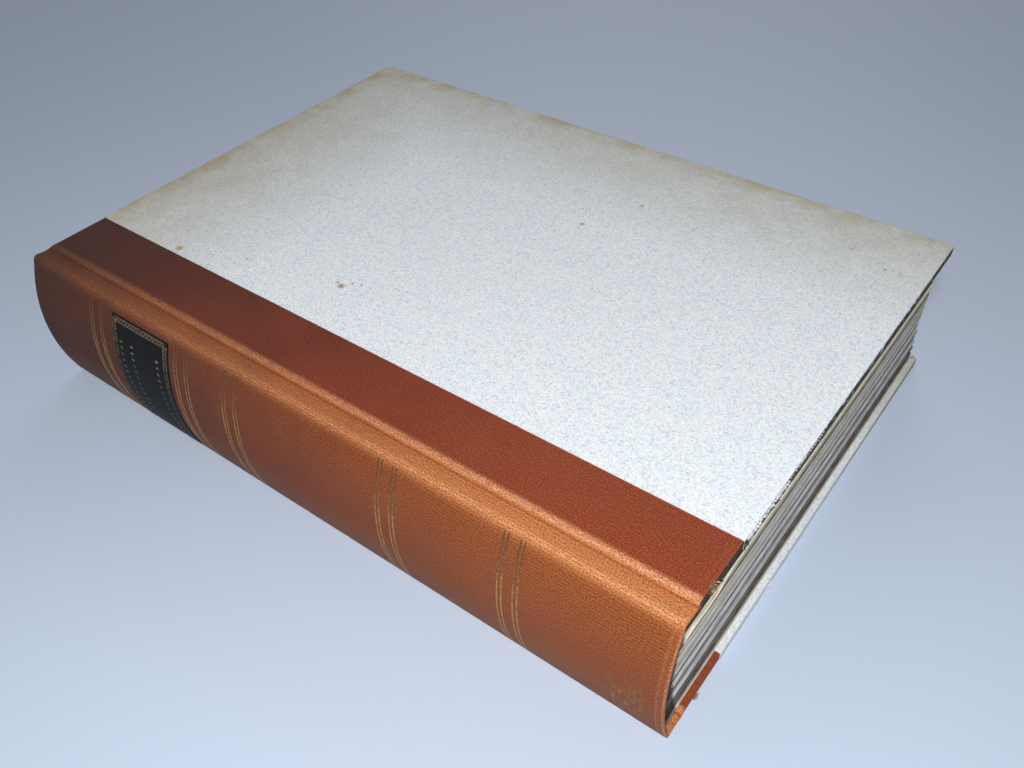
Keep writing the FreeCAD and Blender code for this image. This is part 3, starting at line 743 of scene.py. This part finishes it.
# The last few millimetres along the head and fore edges are the yellowest, in stretches
head_rim = add(tree, "ShaderNodeMapRange", (where["X"], HEAD_RIM[0] * MM, HEAD_RIM[1] * MM, 1.0, 0.0))
fore_rim = add(tree, "ShaderNodeMapRange", (where["Y"], FORE_RIM[0] * MM, FORE_RIM[1] * MM, 1.0, 0.0))
at_rim = add(tree, "ShaderNodeMath", (head_rim, fore_rim), operation="MAXIMUM")
stretches = add(tree, "ShaderNodeMapRange", (clouds, 0.36, 0.62, 0.08, 0.6))
rim_fox = add(tree, "ShaderNodeMath", (at_rim, stretches), operation="MULTIPLY")
paper_colour = add(tree, "ShaderNodeMix", {0: rim_fox, 6: foxed, 7: srgb("#A08A58")}, data_type="RGBA")
for x, y, radius, code in STAINS:
    centre = Vector((x, y, paper_high[2])) * MM
    distance = add(tree, "ShaderNodeVectorMath", (place, centre), operation="DISTANCE")
    ragged = add(tree, "ShaderNodeMath", (pulp, -1.6 * radius * MM, distance), operation="MULTIPLY_ADD")
    spot = add(tree, "ShaderNodeMapRange", (ragged, -0.6 * radius * MM, 0.35 * radius * MM, 0.85, 0.0),
               interpolation_type="SMOOTHSTEP")
    paper_colour = add(tree, "ShaderNodeMix", {0: spot, 6: paper_colour, 7: srgb(code)}, data_type="RGBA")
# The front cover's tail edge is dark in patches, partly worn through to dirty board and partly painted shade,
# and the back cover's tail edge is darker and browner towards the fore edge
on_edge = add(tree, "ShaderNodeMapRange",
              (where["X"], (paper_high[0] - 0.22) * MM, (paper_high[0] - 0.04) * MM))
edge_patches = add(tree, "ShaderNodeTexNoise", {"Vector": place, "Scale": 1 / (1.8 * MM), "Detail": 4})
worn_and_shaded = add(tree, "ShaderNodeMapRange", (edge_patches, 0.68, 0.58))
above = add(tree, "ShaderNodeMapRange", (where["Z"], (middle_z - 1) * MM, (middle_z + 1) * MM))
towards_fore = add(tree, "ShaderNodeMapRange", (where["Y"], -20 * MM, 80 * MM, 0.05, 0.7))
for limit, back_share, front_share, code in ((worn_and_shaded, 0.0, 1.0, "#2C2825"),
                                             (towards_fore, 1.0, 0.0, "#97866A")):
    cover_share = add(tree, "ShaderNodeMapRange", (above, 0, 1, back_share, front_share))
    share = add(tree, "ShaderNodeMath", (cover_share, limit), operation="MULTIPLY")
    edge_share = add(tree, "ShaderNodeMath", (share, on_edge), operation="MULTIPLY")
    paper_colour = add(tree, "ShaderNodeMix", {0: edge_share, 6: paper_colour, 7: srgb(code)},
                       data_type="RGBA")
tooth = add(tree, "ShaderNodeTexNoise", {"Vector": place, "Scale": 1 / (0.4 * MM), "Detail": 3})
bump = add(tree, "ShaderNodeBump", {"Height": tooth, "Strength": 0.2, "Distance": 0.05 * MM})
fill(tree, shader, {"Base Color": paper_colour, "Normal": bump})


def cover_outline():
    """Points round a cover from the lap at the head to the lap at the tail, with outward directions."""
    reach, fore = paper_high[0], paper_high[1]
    halves = []
    for radius in (HEAD_CORNER, TAIL_CORNER):
        half = [(-reach, y, -1, 0) for y in np.arange(paper_low[1], fore - radius, EDGE_STEP)]
        for turn in np.radians(np.linspace(180, 90, 9)):
            half.append((-reach + radius + radius * math.cos(turn), fore - radius + radius * math.sin(turn),
                         math.cos(turn), math.sin(turn)))
        half.extend((x, fore, 0, 1) for x in np.arange(-reach + HEAD_CORNER + EDGE_STEP, 0, EDGE_STEP))
        halves.append(half)
    return np.array(halves[0] + [(0, fore, 0, 1)] + [(-x, y, -dx, dy) for x, y, dx, dy in halves[1][::-1]])


def side_paper(name, side):
    """The paper shell of one cover. side is 1 for the front and -1 for the back."""
    outline = cover_outline()
    count = len(outline)
    depth = paper_high[2] - paper_low[2]
    lap_x = np.arange(paper_high[0] - EDGE_STEP, -paper_high[0], -EDGE_STEP)
    shells = []
    points = []
    for inset in (0, PAPER):
        radius = PAPER_RADIUS - inset
        turn = np.radians(np.linspace(0, 90, 6))
        under = [(inset + radius * (1 - math.sin(a)), depth - inset - radius * (1 - math.cos(a)))
                 for a in turn]
        over = [(d, depth - h) for d, h in under[::-1]]
        rings = [(TURN_IN, depth - inset), (radius + 1.0, depth - inset)] + under + over
        rings.append((inset + radius + 0.6, inset))
        shell = []
        for number, (offset, down) in enumerate(rings):
            ring = []
            for x, y, dx, dy in outline:
                wave = 0 if number < 2 or number == len(rings) - 1 else EDGE_WAVE
                push = wave * noise.noise(Vector((x * 0.35, y * 0.35, side * 7.0 + down)))
                px = x - dx * (offset - push)
                py = y - dy * (offset - push)
                if number == 0:
                    px = max(min(px, paper_high[0] - TURN_IN), TURN_IN - paper_high[0])
                    py = min(py, paper_high[1] - TURN_IN)
                ring.append(len(points))
                points.append((px, py, middle_z + side * (paper_high[2] - middle_z - down)))
            shell.append(ring)
        lap = []
        for x in lap_x:
            lap.append(len(points))
            ragged = LAP_WAVE * noise.noise(Vector((x * 0.5, side * 3.0, 1.0)))
            points.append((x, paper_low[1] + ragged, middle_z + side * (paper_high[2] - middle_z - inset)))
        shells.append((shell, lap))
    faces = []
    (outer, outer_lap), (inner, inner_lap) = shells
    for shell, turned in ((outer, False), (inner, True)):
        for lower, upper in zip(shell[:-1], shell[1:]):
            for i in range(count - 1):
                quad = [lower[i], lower[i + 1], upper[i + 1], upper[i]]
                faces.append(quad[::-1] if turned else quad)
    faces.append(outer[-1] + outer_lap)
    faces.append((inner[-1] + inner_lap)[::-1])
    for i in range(count - 1):
        faces.append([outer[0][i + 1], outer[0][i], inner[0][i], inner[0][i + 1]])
    for lower, upper, low_in, up_in in zip(outer[:-1], outer[1:], inner[:-1], inner[1:]):
        faces.append([lower[0], upper[0], up_in[0], low_in[0]])
        faces.append([upper[-1], lower[-1], low_in[-1], up_in[-1]])
    edge = [outer[-1][-1]] + outer_lap + [outer[-1][0]]
    edge_in = [inner[-1][-1]] + inner_lap + [inner[-1][0]]
    for i in range(len(edge) - 1):
        faces.append([edge[i + 1], edge[i], edge_in[i], edge_in[i + 1]])
    mesh = bpy.data.meshes.new(name)
    mesh.from_pydata((np.array(points) * MM).tolist(), [], faces)
    work = bmesh.new()
    work.from_mesh(mesh)
    bmesh.ops.remove_doubles(work, verts=work.verts, dist=0.001 * MM)
    bmesh.ops.recalc_face_normals(work, faces=work.faces)
    work.to_mesh(mesh)
    work.free()
    return sheet_piece(name, mesh, granite_paper)


for cover, side in (("front", 1), ("back", -1)):
    paper = side_paper(cover + "_granite_paper", side)
    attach(paper, cover + "_cover")
    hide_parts(cover + "_side_paper")

# What has frayed: threads of the cloth where the front cover's tail edge is worn through beside the joint,
# fluff of the paper along the next stretch of that edge, torn crumbs of board there, and two tufts below.
THREAD_RADIUS = 0.06        # drawn thicker than a real fibre, which is too fine to show
THREAD_LENGTH = 1.2
CRUMB_RADIUS = 0.28
ROOT_DEPTH = 0.15           # the tufts' roots lie this far inside the edge

# Raw cotton and paper fibre: undyed and pale where they have pulled out, matte and soft to the eye. Crumbs of
# board are coloured dark as painted shade along the torn edge, and threads low at the tail are brown with
# dirt.
loose_fibres = {}
for name, light, dark in (("raw_cotton_thread", "#D9BFA2", "#8A5A3A"),
                          ("torn_paper_fibre", "#F2F0F6", "#BDBBCB"),
                          ("shade_dark_board_crumb", "#5A4C3A", "#1E1A14"),
                          ("dusty_thread", "#8A7A58", "#463C2A")):
    fibre, tree, shader = new_material(name, 0.9, IOR=1.45)
    place = add(tree, "ShaderNodeTexCoord").outputs["Object"]
    mixture = add(tree, "ShaderNodeTexNoise", {"Vector": place, "Scale": 1 / (0.9 * MM), "Detail": 2})
    shades = add(tree, "ShaderNodeValToRGB", {"Fac": mixture})
    set_stops(shades, [(0.38, dark), (0.6, light)])
    fill(tree, shader, {"Base Color": shades})
    loose_fibres[name] = fibre


def frayed_tree(name, sizes, material, crumbs):
    """A row of bent threads, or of small lumps, along X that stand out towards Y."""
    tree, size = new_geometry(name, sizes)
    step = add(tree, "ShaderNodeMath", (size["Run"], size["Count"]), operation="DIVIDE")
    start = add(tree, "ShaderNodeMath", (size["Run"], -0.5), operation="MULTIPLY")
    row = add(tree, "GeometryNodeMeshLine",
              {"Count": size["Count"], "Start Location": add(tree, "ShaderNodeCombineXYZ", (start, 0, 0)),
               "Offset": add(tree, "ShaderNodeCombineXYZ", (step, 0, 0))})
    # How far each one may turn, and its smallest and largest scale
    if crumbs:
        one = add(tree, "GeometryNodeMeshIcoSphere", {"Radius": size["Radius"], "Subdivisions": 1})
        turned, small, large = (3.0, 3.0, 3.0), (0.3, 0.4, 0.3), (1.3, 1.6, 1.1)
    else:
        bend = add(tree, "ShaderNodeVectorMath", {0: (0.25, 0.5, 0.1), "Scale": size["Length"]},
                   operation="SCALE")
        tip = add(tree, "ShaderNodeVectorMath", {0: (-0.15, 1.0, -0.25), "Scale": size["Length"]},
                  operation="SCALE")
        line = add(tree, "GeometryNodeCurveQuadraticBezier",
                   {"Resolution": 4, "Start": (0, 0, 0), "Middle": bend, "End": tip})
        ring = add(tree, "GeometryNodeCurvePrimitiveCircle", {"Resolution": 4, "Radius": size["Radius"]})
        one = add(tree, "GeometryNodeCurveToMesh", {"Curve": line, "Profile Curve": ring, "Fill Caps": True})
        turned, small, large = (1.3, 0.7, 1.0), (0.5, 0.35, 0.5), (1.0, 1.1, 1.0)
    back = tuple(-angle for angle in turned)
    turn = add(tree, "FunctionNodeRandomValue", {0: back, 1: turned, "Seed": 3}, data_type="FLOAT_VECTOR")
    scale = add(tree, "FunctionNodeRandomValue", {0: small, 1: large, "Seed": 5}, data_type="FLOAT_VECTOR")
    placed = add(tree, "GeometryNodeInstanceOnPoints",
                 {"Points": row, "Instance": one, "Rotation": turn, "Scale": scale})
    aside = add(tree, "ShaderNodeVectorMath", {0: (-0.4, -0.3, -0.8), "Scale": size["Spread"]},
                operation="SCALE")
    beside = add(tree, "ShaderNodeVectorMath", {0: (0.4, 0.1, 0.8), "Scale": size["Spread"]},
                 operation="SCALE")
    shift = add(tree, "FunctionNodeRandomValue", {0: aside, 1: beside, "Seed": 8}, data_type="FLOAT_VECTOR")
    scattered = add(tree, "GeometryNodeTranslateInstances", {"Instances": placed, "Translation": shift})
    end_geometry(tree, scattered, material)
    return tree


def joined(name, parts):
    """One piece from several plain meshes with the same material."""
    points, faces = [], []
    for part in parts:
        base = len(points)
        points.extend([v.co[:] for v in part.data.vertices])
        faces.extend([[base + i for i in face.vertices] for face in part.data.polygons])
    mesh = bpy.data.meshes.new(name)
    mesh.from_pydata(points, [], faces)
    mesh.materials.append(parts[0].data.materials[-1])
    for part in parts:
        bpy.data.objects.remove(part)
    return show(name, mesh)


cover_top = paper_high[2]
tail_x = paper_high[0]
# Each row: the piece, its cover, slot and material, and the y, depth, run, count, length and spread of each
# tuft. A depth is taken from the top of the front cover, or, where it is negative, up from the table.
FRAYED = [
    ("front_frayed_threads", "front_cover", "book_cloth", "raw_cotton_thread",
     [(-70.8, 1.0, 4.0, 22, 1.0, 0.7), (-71.2, 2.4, 1.4, 12, 1.3, 0.6)]),
    ("front_torn_crumbs", "front_cover", "binders_board", "shade_dark_board_crumb",
     [(-71.0, 2.3, 3.0, 18, 0.0, 0.9), (-66.5, 2.9, 5.0, 10, 0.0, 0.6), (-54.5, 3.2, 5.0, 14, 0.0, 0.6),
      (-38.0, 3.4, 7.0, 14, 0.0, 0.5)]),
    ("front_paper_fluff", "front_cover", "granite_paper", "torn_paper_fibre",
     [(-52.0, 0.4, 6.0, 90, 0.9, 0.4), (-41.0, 0.5, 16.0, 220, 0.9, 0.5), (-22.0, 0.5, 20.0, 90, 0.5, 0.4)]),
    ("back_edge_tufts", "back_cover", "granite_paper", "torn_paper_fibre",
     [(-27.5, -1.6, 3.0, 34, 1.0, 0.5), (-33.0, -1.4, 8.0, 22, 0.6, 0.4)]),
    ("back_corner_threads", "back_cover", "book_cloth", "dusty_thread", [(-69.5, -1.4, 1.6, 30, 1.0, 0.5)]),
]
for name, body, slot, fibre, tufts in FRAYED:
    crumbs = "crumb" in fibre
    sizes = {"Count": 1, "Run": 1.0, "Length": THREAD_LENGTH * MM, "Spread": 1.0,
             "Radius": (CRUMB_RADIUS if crumbs else THREAD_RADIUS) * MM}
    tree = frayed_tree(name, sizes, loose_fibres[fibre], crumbs)
    parts = []
    for y, depth, run, count, length, spread in tufts:
        part = run_geometry("tuft", tree, dict(sizes, Count=count, Run=run * MM, Length=length * MM,
                                               Spread=spread * MM))
        z = cover_top - depth if depth > 0 else -depth
        part.data.transform(Matrix.Translation((tail_x * MM - ROOT_DEPTH * MM, y * MM, z * MM))
                            @ Matrix.Rotation(math.radians(-90), 4, "Z"))
        parts.append(part)
    piece = joined(name, parts)
    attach(piece, body)

# The title label: a patch of thin black leather pared at its edges and glued across the back.
LABEL_THICK = 0.3
LABEL_EDGE = 0.45           # pared edge
LABEL_FOOT = 0.002          # what is left of the thickness at the edge
LABEL_SUNK = 0.05           # its underside is pressed this far into the ribs of the cloth
label_low, label_high = span("title_label")


def on_back(x, w, height):
    """A place on the round back: x along it, w round it from the crest, and the height above the cloth."""
    turn = w / BACK_RADIUS
    reach = BACK_RADIUS + height
    return np.stack([x, round_y - reach * np.cos(turn), middle_z + reach * np.sin(turn)], axis=-1)


def bend_on_back(piece):
    """Bends a flat piece, drawn in X and Y with its height in Z, onto the round back."""
    flat = np.array([v.co for v in piece.data.vertices]) / MM
    bent = on_back(flat[:, 0], flat[:, 1], flat[:, 2]) * MM
    piece.data.vertices.foreach_set("co", bent.ravel())
    piece.data.update()
    return outwards(piece)


label_half = BACK_RADIUS * math.asin((label_high[2] - middle_z) / (BACK_RADIUS + LABEL_THICK))

# Goatskin: near-black with a fine pebbled grain, a slight shine, greyed where it is rubbed.
label_leather, tree, shader = new_material("black_goatskin", 0.62, IOR=1.4, Specular_IOR_Level=0.25)
place = add(tree, "ShaderNodeTexCoord").outputs["Object"]
pebbles = add(tree, "ShaderNodeTexVoronoi", {"Vector": place, "Scale": 1 / (0.55 * MM)}, feature="F1")
rubbing = add(tree, "ShaderNodeTexNoise",
              {"Vector": place, "Scale": 1 / (4 * MM), "Detail": 5, "Roughness": 0.65})
shades = add(tree, "ShaderNodeValToRGB", {"Fac": rubbing})
set_stops(shades, [(0.35, "#07080A"), (0.6, "#0D0F12"), (0.8, "#222222")])
bump = add(tree, "ShaderNodeBump",
           {"Height": pebbles.outputs["Distance"], "Strength": 0.35, "Distance": 0.06 * MM})
fill(tree, shader, {"Base Color": shades, "Normal": bump})

edge_steps = np.array([0.0, 0.06, 0.16, 0.3, LABEL_EDGE])
label_x = np.concatenate([label_low[0] + edge_steps, np.linspace(label_low[0] + 1, label_high[0] - 1, 26),
                          label_high[0] - edge_steps[::-1]])
label_w = np.concatenate([-label_half + edge_steps, np.linspace(-label_half + 1, label_half - 1, 44),
                          label_half - edge_steps[::-1]])
grid_x, grid_w = np.meshgrid(label_x, label_w, indexing="ij")
to_edge = np.minimum(np.minimum(grid_x - label_low[0], label_high[0] - grid_x),
                     np.minimum(grid_w + label_half, label_half - grid_w))
pared = np.clip(to_edge / LABEL_EDGE, 0, 1)
rise = LABEL_THICK * np.sqrt(1 - (1 - pared) ** 2)
label = closed_sheet("leather_label", on_back(grid_x, grid_w, rise + LABEL_FOOT),
                     on_back(grid_x, grid_w, np.full(grid_x.shape, -LABEL_SUNK)), label_leather)
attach(label, "book_block")
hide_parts("title_label")

# The gilt on the label: gold leaf pressed in with a roll, a zigzag between two lines round the border, and
# rows of small lozenges where a title would stand. Most of it is rubbed away low on the back.
BORDER_MARGIN = 0.7
BORDER_WIDTH = 1.5
ZIGZAG = 1.5                # one tooth of the roll
ROLL_LINE = 0.16            # width of the roll's lines
LOZENGE_ROWS = (-73.8, -68.6, -56.4)
LOZENGE_STEP = 2.3
LOZENGE = 0.85              # half of a lozenge's length
LOZENGE_MARGIN = 3.0        # between a row's end and the border
GILT_LIFT = 0.03

# Gold leaf on leather: warm metal, bright where it is whole and gone where it is rubbed, so that the black
# shows in broken specks.
label_gilt, tree, shader = new_material("gold_leaf_on_leather", 0.42)
place = add(tree, "ShaderNodeTexCoord").outputs["Object"]
wear = add(tree, "ShaderNodeTexNoise",
           {"Vector": place, "Scale": 1 / (0.8 * MM), "Detail": 4, "Roughness": 0.7})
height = add(tree, "ShaderNodeSeparateXYZ", {0: place}).outputs["Z"]
keep = add(tree, "ShaderNodeMapRange", (height, 8 * MM, 44 * MM, -0.26, 0.1))
left = add(tree, "ShaderNodeMath", (wear, keep), operation="ADD")
gold = add(tree, "ShaderNodeMapRange", (left, 0.45, 0.62))
leafed = add(tree, "ShaderNodeMix", {0: gold, 6: srgb("#0E0E0E"), 7: srgb("#9E875A")}, data_type="RGBA")
metal = add(tree, "ShaderNodeMath", (gold, 0.3), operation="MULTIPLY")
fill(tree, shader, {"Base Color": leafed, "Metallic": metal})

roll_sizes = {"Run": 1.0, "Tooth": ZIGZAG * MM, "Width": BORDER_WIDTH * MM, "Line": ROLL_LINE * MM,
              "Lift": GILT_LIFT * MM, "Base": LABEL_THICK * MM}
tree, size = new_geometry("roll_side", roll_sizes)
teeth = add(tree, "ShaderNodeMath", (size["Run"], size["Tooth"]), operation="DIVIDE")
tooth_count = add(tree, "ShaderNodeMath", {0: teeth}, operation="ROUND")
tooth_step = add(tree, "ShaderNodeMath", (size["Run"], tooth_count), operation="DIVIDE")
half_step = add(tree, "ShaderNodeMath", (tooth_step, 0.25), operation="MULTIPLY")
middle_lift = add(tree, "ShaderNodeMath", (size["Lift"], 0.5, size["Base"]), operation="MULTIPLY_ADD")
start_at = add(tree, "ShaderNodeCombineXYZ", (half_step, 0, middle_lift))
tooth_offset = add(tree, "ShaderNodeCombineXYZ", (tooth_step, 0, 0))
row = add(tree, "GeometryNodeMeshLine",
          {"Count": tooth_count, "Start Location": start_at, "Offset": tooth_offset})
bar_length = add(tree, "ShaderNodeMath", (size["Width"], 0.8), operation="MULTIPLY")
bar_size = add(tree, "ShaderNodeCombineXYZ", (size["Line"], bar_length, size["Lift"]))
bar = add(tree, "GeometryNodeMeshCube", {"Size": bar_size})
teeth_join = add(tree, "GeometryNodeJoinGeometry")
for lean, along_x in ((0.5, 0.0), (-0.5, 0.5)):
    shift_x = add(tree, "ShaderNodeMath", (tooth_step, along_x), operation="MULTIPLY")
    shift = add(tree, "ShaderNodeCombineXYZ", (shift_x, 0, 0))
    moved = add(tree, "GeometryNodeTransform", {"Geometry": row, "Translation": shift})
    slanted = add(tree, "GeometryNodeInstanceOnPoints",
                  {"Points": moved, "Instance": bar, "Rotation": (0, 0, lean)})
    fill(tree, teeth_join, {0: slanted})
for across in (-0.5, 0.5):
    line_size = add(tree, "ShaderNodeCombineXYZ", (size["Run"], size["Line"], size["Lift"]))
    rule = add(tree, "GeometryNodeMeshCube", {"Size": line_size, "Vertices X": 60})
    half_run = add(tree, "ShaderNodeMath", (size["Run"], 0.5), operation="MULTIPLY")
    aside = add(tree, "ShaderNodeMath", (size["Width"], across), operation="MULTIPLY")
    spot = add(tree, "ShaderNodeCombineXYZ", (half_run, aside, middle_lift))
    laid = add(tree, "GeometryNodeTransform", {"Geometry": rule, "Translation": spot})
    fill(tree, teeth_join, {0: laid})
end_geometry(tree, teeth_join, label_gilt)

border_x = label_high[0] - BORDER_MARGIN - BORDER_WIDTH / 2
border_low_x = label_low[0] + BORDER_MARGIN + BORDER_WIDTH / 2
border_w = label_half - BORDER_MARGIN - BORDER_WIDTH / 2
sides = []
for run, turn, x, w in ((border_x - border_low_x, 0, border_low_x, border_w),
                        (border_x - border_low_x, 0, border_low_x, -border_w),
                        (2 * border_w, 90, border_low_x, -border_w),
                        (2 * border_w, 90, border_x, -border_w)):
    part = run_geometry("roll", tree, dict(roll_sizes, Run=run * MM))
    part.data.transform(Matrix.Translation((x * MM, w * MM, 0)) @ Matrix.Rotation(math.radians(turn), 4, "Z"))
    sides.append(part)

row_sizes = {"Run": 1.0, "Step": LOZENGE_STEP * MM, "Lozenge": LOZENGE * MM, "Lift": GILT_LIFT * MM,
             "Base": LABEL_THICK * MM}
tree, size = new_geometry("lozenge_row", row_sizes)
lozenges = add(tree, "ShaderNodeMath", (size["Run"], size["Step"]), operation="DIVIDE")
half_run = add(tree, "ShaderNodeMath", (size["Run"], -0.5), operation="MULTIPLY")
row_start = add(tree, "ShaderNodeCombineXYZ", (0, half_run, size["Base"]))
row_step = add(tree, "ShaderNodeCombineXYZ", (0, size["Step"], 0))
row = add(tree, "GeometryNodeMeshLine", {"Count": lozenges, "Start Location": row_start, "Offset": row_step})
lozenge = add(tree, "GeometryNodeMeshCylinder",
              {"Vertices": 4, "Radius": size["Lozenge"], "Depth": size["Lift"]})
stamped = add(tree, "GeometryNodeInstanceOnPoints",
              {"Points": row, "Instance": lozenge, "Scale": (1.0, 0.62, 1.0)})
end_geometry(tree, stamped, label_gilt)
for x in LOZENGE_ROWS:
    part = run_geometry("row", tree, dict(row_sizes, Run=2 * (border_w - LOZENGE_MARGIN) * MM))
    part.data.transform(Matrix.Translation((x * MM, 0, 0)))
    sides.append(part)
label_gold = bend_on_back(joined("label_gilt_roll", sides))
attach(label_gold, "book_block")
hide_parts("label_border")

# The gilt fillets: five groups of four fine lines pressed round the back with a brass wheel and gold leaf,
# worn thin, darker high on the back and brighter low on it.
FILLET_CENTRES = (-86.3, -45.6, -24.4, 35.4, 75.5)
FILLET_PAIR = 4.8           # from one double line of a group to the other
FILLET_LINE = 1.3           # from line to line in a double line
FILLET_WIDTH = 0.42
FILLET_LIFT = 0.05
FILLET_SEAT = 0.012         # middle of the lines above the back
fillet_half = BACK_RADIUS * math.asin((span("gilt_fillets")[1][2] - middle_z) / BACK_RADIUS)

# Gold leaf on cloth: dull old gold that the ribs have broken up, with the cloth's brown between.
cloth_gilt, tree, shader = new_material("gold_leaf_on_cloth", 0.5)
place = add(tree, "ShaderNodeTexCoord").outputs["Object"]
wear = add(tree, "ShaderNodeTexNoise",
           {"Vector": place, "Scale": 1 / (0.7 * MM), "Detail": 5, "Roughness": 0.75})
height = add(tree, "ShaderNodeSeparateXYZ", {0: place}).outputs["Z"]
tarnish = add(tree, "ShaderNodeMapRange", (height, 30 * MM, 46 * MM, 0.02, -0.2))
left = add(tree, "ShaderNodeMath", (wear, tarnish), operation="ADD")
gold = add(tree, "ShaderNodeMapRange", (left, 0.38, 0.6))
leafed = add(tree, "ShaderNodeMix", {0: gold, 6: srgb("#583418"), 7: srgb("#B08C46")}, data_type="RGBA")
metal = add(tree, "ShaderNodeMath", (gold, 0.25), operation="MULTIPLY")
fill(tree, shader, {"Base Color": leafed, "Metallic": metal})

fillet_sizes = {"Pair": FILLET_PAIR * MM, "Line": FILLET_LINE * MM, "Width": FILLET_WIDTH * MM,
                "Round": 2 * fillet_half * MM, "Lift": FILLET_LIFT * MM}
tree, size = new_geometry("fillet_group", fillet_sizes)
strip_size = add(tree, "ShaderNodeCombineXYZ", (size["Width"], size["Round"], size["Lift"]))
strip = add(tree, "GeometryNodeMeshCube", {"Size": strip_size, "Vertices Y": 90})
pair_start = add(tree, "ShaderNodeMath", (size["Pair"], -0.5), operation="MULTIPLY")
line_start = add(tree, "ShaderNodeMath", (size["Line"], -0.5), operation="MULTIPLY")
pairs = add(tree, "GeometryNodeMeshLine",
            {"Count": 2, "Start Location": add(tree, "ShaderNodeCombineXYZ", (pair_start, 0, 0)),
             "Offset": add(tree, "ShaderNodeCombineXYZ", (size["Pair"], 0, 0))})
doubles = add(tree, "GeometryNodeMeshLine",
              {"Count": 2, "Start Location": add(tree, "ShaderNodeCombineXYZ", (line_start, 0, 0)),
               "Offset": add(tree, "ShaderNodeCombineXYZ", (size["Line"], 0, 0))})
double = add(tree, "GeometryNodeInstanceOnPoints", {"Points": doubles, "Instance": strip})
group = add(tree, "GeometryNodeInstanceOnPoints", {"Points": pairs, "Instance": double})
end_geometry(tree, group, cloth_gilt)
groups = []
for x in FILLET_CENTRES:
    part = run_geometry("fillet", tree, fillet_sizes)
    part.data.transform(Matrix.Translation((x * MM, 0, FILLET_SEAT * MM)))
    groups.append(part)
fillets = bend_on_back(joined("gilt_fillet_lines", groups))
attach(fillets, "book_block")
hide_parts("gilt_fillets")

# The room: a plain pale floor, a small lamp above the camera, a large soft one from the spine's head end and
# another from behind the fore edge, and an even fill from all round.
BOOK_MIDDLE = (0.0, 0.0, 0.03)
floor_mesh = bpy.data.meshes.new("floor")
floor_mesh.from_pydata([(-4, -4, 0), (4, -4, 0), (4, 4, 0), (-4, 4, 0)], [], [(0, 1, 2, 3)])
floor = show("floor", floor_mesh)
floor_paint, tree, shader = new_material("pale_floor", 0.6)
shader.inputs["Base Color"].default_value = srgb("#BDC9DC")
floor_mesh.materials.append(floor_paint)


def lamp(name, spot, size, watts):
    """A square soft lamp that looks at the book."""
    light = bpy.data.lights.new(name, "AREA")
    light.shape = "SQUARE"
    light.size = size
    light.energy = watts
    holder = show(name, light)
    holder.location = spot
    holder.rotation_euler = (Vector(BOOK_MIDDLE) - Vector(spot)).to_track_quat("-Z", "Y").to_euler()


lamp("key", (0.2, -0.27, 0.36), 0.07, 2.1)
lamp("side", (-0.7, -0.8, 0.6), 0.8, 0.6)
lamp("back", (-0.5, 1.0, 0.7), 0.8, 2.6)
world = bpy.data.worlds.new("studio")
world.use_nodes = True
sky = world.node_tree.nodes["Background"]
sky.inputs["Color"].default_value = srgb("#EEF2FA")
# The background looks pale to the camera and in shiny surfaces, while the fill that it gives stays weak
rays = add(world.node_tree, "ShaderNodeLightPath").outputs
seen = add(world.node_tree, "ShaderNodeMath", (rays["Is Camera Ray"], rays["Is Glossy Ray"]),
           operation="MAXIMUM")
shown = add(world.node_tree, "ShaderNodeMath", (seen, rays["Is Transmission Ray"]), operation="MAXIMUM")
strength = add(world.node_tree, "ShaderNodeMapRange", (shown, 0, 1, 0.17, 0.5))
fill(world.node_tree, sky, {"Strength": strength})
bpy.context.scene.world = world

camera_data = bpy.data.cameras.new("camera")
camera_data.lens = 33.98
camera_data.sensor_width = 36
camera = show("camera", camera_data)
camera.location = (0.163984, -0.196795, 0.224918)
camera.rotation_euler = [math.radians(a) for a in (47.86205, 1.38592, 36.72431)]
bpy.context.scene.camera = camera
